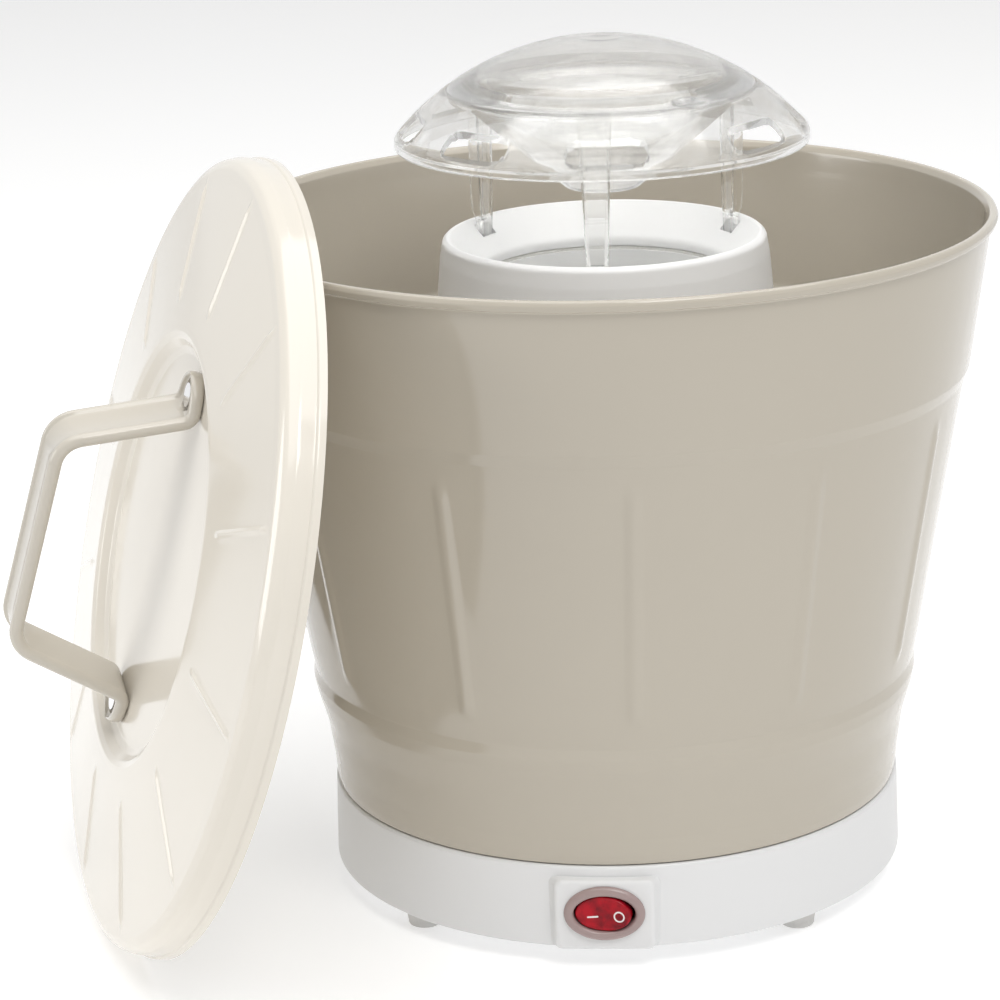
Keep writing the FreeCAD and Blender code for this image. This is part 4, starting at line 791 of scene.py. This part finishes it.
def strap_section(half):
    """Across the strap: rounded edges, and a shallow channel along the outer face."""
    thick, edge = STRAP / 2, min(STRAP_EDGE, half * 0.9)

    def corner(start, side, face):
        """A quarter round, on one side (1 or -1) of the inner (1) or outer (-1) face."""
        across, through = side * (half - edge), face * (thick - edge)
        turns = [math.radians(start + step) for step in range(0, 91, 15)]
        return [(across + edge * math.cos(t), through + edge * math.sin(t)) for t in turns]

    wall = max(half - STRAP_RIM, half * 0.3)
    slope = min(1.3, wall / 2)
    depth = CHANNEL_DEPTH * min(1.0, wall / 4)
    bank = [(wall - slope * f, depth * f * f * (3 - 2 * f) - thick)
            for f in (0, 0.2, 0.4, 0.6, 0.8, 1)]
    channel = [(-a, b) for a, b in bank] + [(0, depth - thick)] + bank[::-1]
    inner_face = corner(0, 1, 1) + [(0, thick)] + corner(90, -1, 1)
    return inner_face + corner(180, -1, -1) + channel + corner(270, 1, -1)


def strap_loops():
    """The strap's section all along its path, narrowing to half rounds at its tips."""
    path = strap_path()
    loops = []
    for i, p in enumerate(path):
        before = path[max(0, i - 1)]
        after = path[min(len(path) - 1, i + 1)]
        along = (after - before).normalized()
        normal = Vector((-along.y, along.x))
        past = abs(p.x) - (TIP - STRAP_HALF)
        on_foot = p.y < MID_FOOT + 0.01 and past > 0
        half = math.sqrt(max(STRAP_HALF ** 2 - past ** 2, 0.01)) if on_foot else STRAP_HALF
        loop = []
        for a, b in strap_section(half):
            q = p + normal * b
            loop.append((q.x, a, q.y))
        loops.append(loop)
    return loops


handle = loft("strap_handle", strap_loops(), LID, "cap", 45)
pockets = []
for side in (-1, 1):
    at = LID @ Matrix.Translation((side * POCKET_AT, 0, 0))
    face = DISH_FLOOR + STRAP
    pockets.append(revolve(f"pocket_{side}", rounded([
        (0, face - POCKET_DEPTH, 0), (POCKET_R, face - POCKET_DEPTH, 0.6),
        (POCKET_R + 0.3, face + 6, 0), (0, face + 6, 0)], closed=False),
        around(48), at, closed=False))
boolean(handle, pockets)
dress(handle, "handle", "lid", ["lid_handle"])

# ---- parts whose CAD shape stays --------------------------------------------------------------

KEPT = {   # CAD node: material
    "base_plate": "white", "base_screws": "zinc", "post_screws": "zinc", "cord_gland": "white",
    "switch_body": "black", "switch_terminals": "brass", "motor_can": "motor",
    "motor_end_bell": "black", "motor_bushes": "bronze", "motor_magnets": "ferrite",
    "motor_rotor": "laminations", "motor_shaft": "bright", "diode_board": "board",
    "diodes": "black", "motor_bracket": "bracket", "motor_screws": "zinc",
    "bracket_screws": "zinc", "fan_impeller": "filled", "fan_housing": "filled",
    "heater_housing": "heater", "heater_frame": "mica", "heater_coil": "nichrome",
    "thermostat": "aluminium", "thermal_fuse": "fuse", "popping_chamber": "aluminium",
    "chamber_gasket": "felt", "tower_screws": "zinc", "handle_screws": "bright",
    "handle_nuts": "zinc",
}
for node, material in KEPT.items():
    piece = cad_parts[node]
    piece.data.materials.clear()
    piece.data.materials.append(MATERIALS[material])
for node, width in (("base_plate", 0.5), ("cord_gland", 0.5), ("handle_screws", 0.4)):
    bevel(node, width)

# ---- floor, light and camera ------------------------------------------------------------------


def floor():
    """A plain pale floor with a little light of its own."""
    bm = bmesh.new()
    corners = [(-4, -4), (4, -4), (4, 4), (-4, 4)]
    bm.faces.new([bm.verts.new((x, y, 0)) for x, y in corners])
    piece = finish_mesh("floor", bm, 0)
    material, _, shader = new_material("pale_floor")
    shader.inputs["Base Color"].default_value = (0.72, 0.72, 0.72, 1)
    shader.inputs["Roughness"].default_value = 0.6
    shader.inputs["Emission Color"].default_value = (1, 1, 1, 1)
    shader.inputs["Emission Strength"].default_value = 0.44
    piece.data.materials.append(material)


def softbox(name, at, target, size, power):
    """A rectangular area light that faces a target."""
    lamp = bpy.data.lights.new(name, "AREA")
    lamp.shape = "RECTANGLE"
    lamp.size, lamp.size_y = size
    lamp.energy = power
    lamp.color = (1.0, 0.995, 0.985)
    holder = bpy.data.objects.new(name, lamp)
    holder.location = at
    holder.rotation_euler = (Vector(target) - Vector(at)).to_track_quat("-Z", "Y").to_euler()
    bpy.context.scene.collection.objects.link(holder)


floor()
softbox("left_box", (-1.9, -0.3, 0.6), (0, 0, 0.15), (0.8, 0.8), 8)
softbox("right_box", (1.5, -1.0, 0.9), (0, 0, 0.15), (0.9, 1.4), 0.8)
softbox("top_box", (0.1, -0.2, 2.0), (0, 0, 0.1), (2.4, 2.4), 40)
softbox("key_box", (0.8, -1.5, 2.1), (0, 0, 0.2), (1.0, 0.8), 17)


FILL, SEEN = 0.20, 0.92


def studio():
    """White walls all round: bright where they are seen or mirrored, soft as a fill light."""
    world = bpy.data.worlds.new("studio")
    bpy.context.scene.world = world
    world.use_nodes = True
    tree = world.node_tree
    rays = tree.nodes.new("ShaderNodeLightPath")
    level = tree.nodes.new("ShaderNodeMapRange")
    level.inputs["To Min"].default_value = SEEN
    level.inputs["To Max"].default_value = FILL
    tree.links.new(rays.outputs["Is Diffuse Ray"], level.inputs["Value"])
    tree.nodes["Background"].inputs["Color"].default_value = (1, 1, 1, 1)
    tree.links.new(level.outputs[0], tree.nodes["Background"].inputs["Strength"])


studio()
bpy.context.scene.view_settings.view_transform = "Standard"

# the photo's camera, solved from the outlines of rims and base
CAMERA_AT = Vector((54.78, -1161.68, 487.20)) * MM + AXIS
LOOK_DOWN, LOOK_ROUND, ROLL = math.radians(16.816), math.radians(4.632), math.radians(-1.836)
forward = Vector((-math.sin(LOOK_ROUND) * math.cos(LOOK_DOWN),
                  math.cos(LOOK_ROUND) * math.cos(LOOK_DOWN), -math.sin(LOOK_DOWN)))
right = forward.cross(Vector((0, 0, 1))).normalized()
up = right.cross(forward)
image_right = right * math.cos(ROLL) + up * math.sin(ROLL)
image_up = -right * math.sin(ROLL) + up * math.cos(ROLL)
turned = Matrix((image_right, image_up, -forward)).transposed().to_4x4()
camera = bpy.data.objects.new("camera", bpy.data.cameras.new("camera"))
camera.data.lens = 122.58
camera.data.sensor_width = 36.0
camera.matrix_world = Matrix.Translation(CAMERA_AT) @ turned
bpy.context.scene.collection.objects.link(camera)
bpy.context.scene.camera = camera
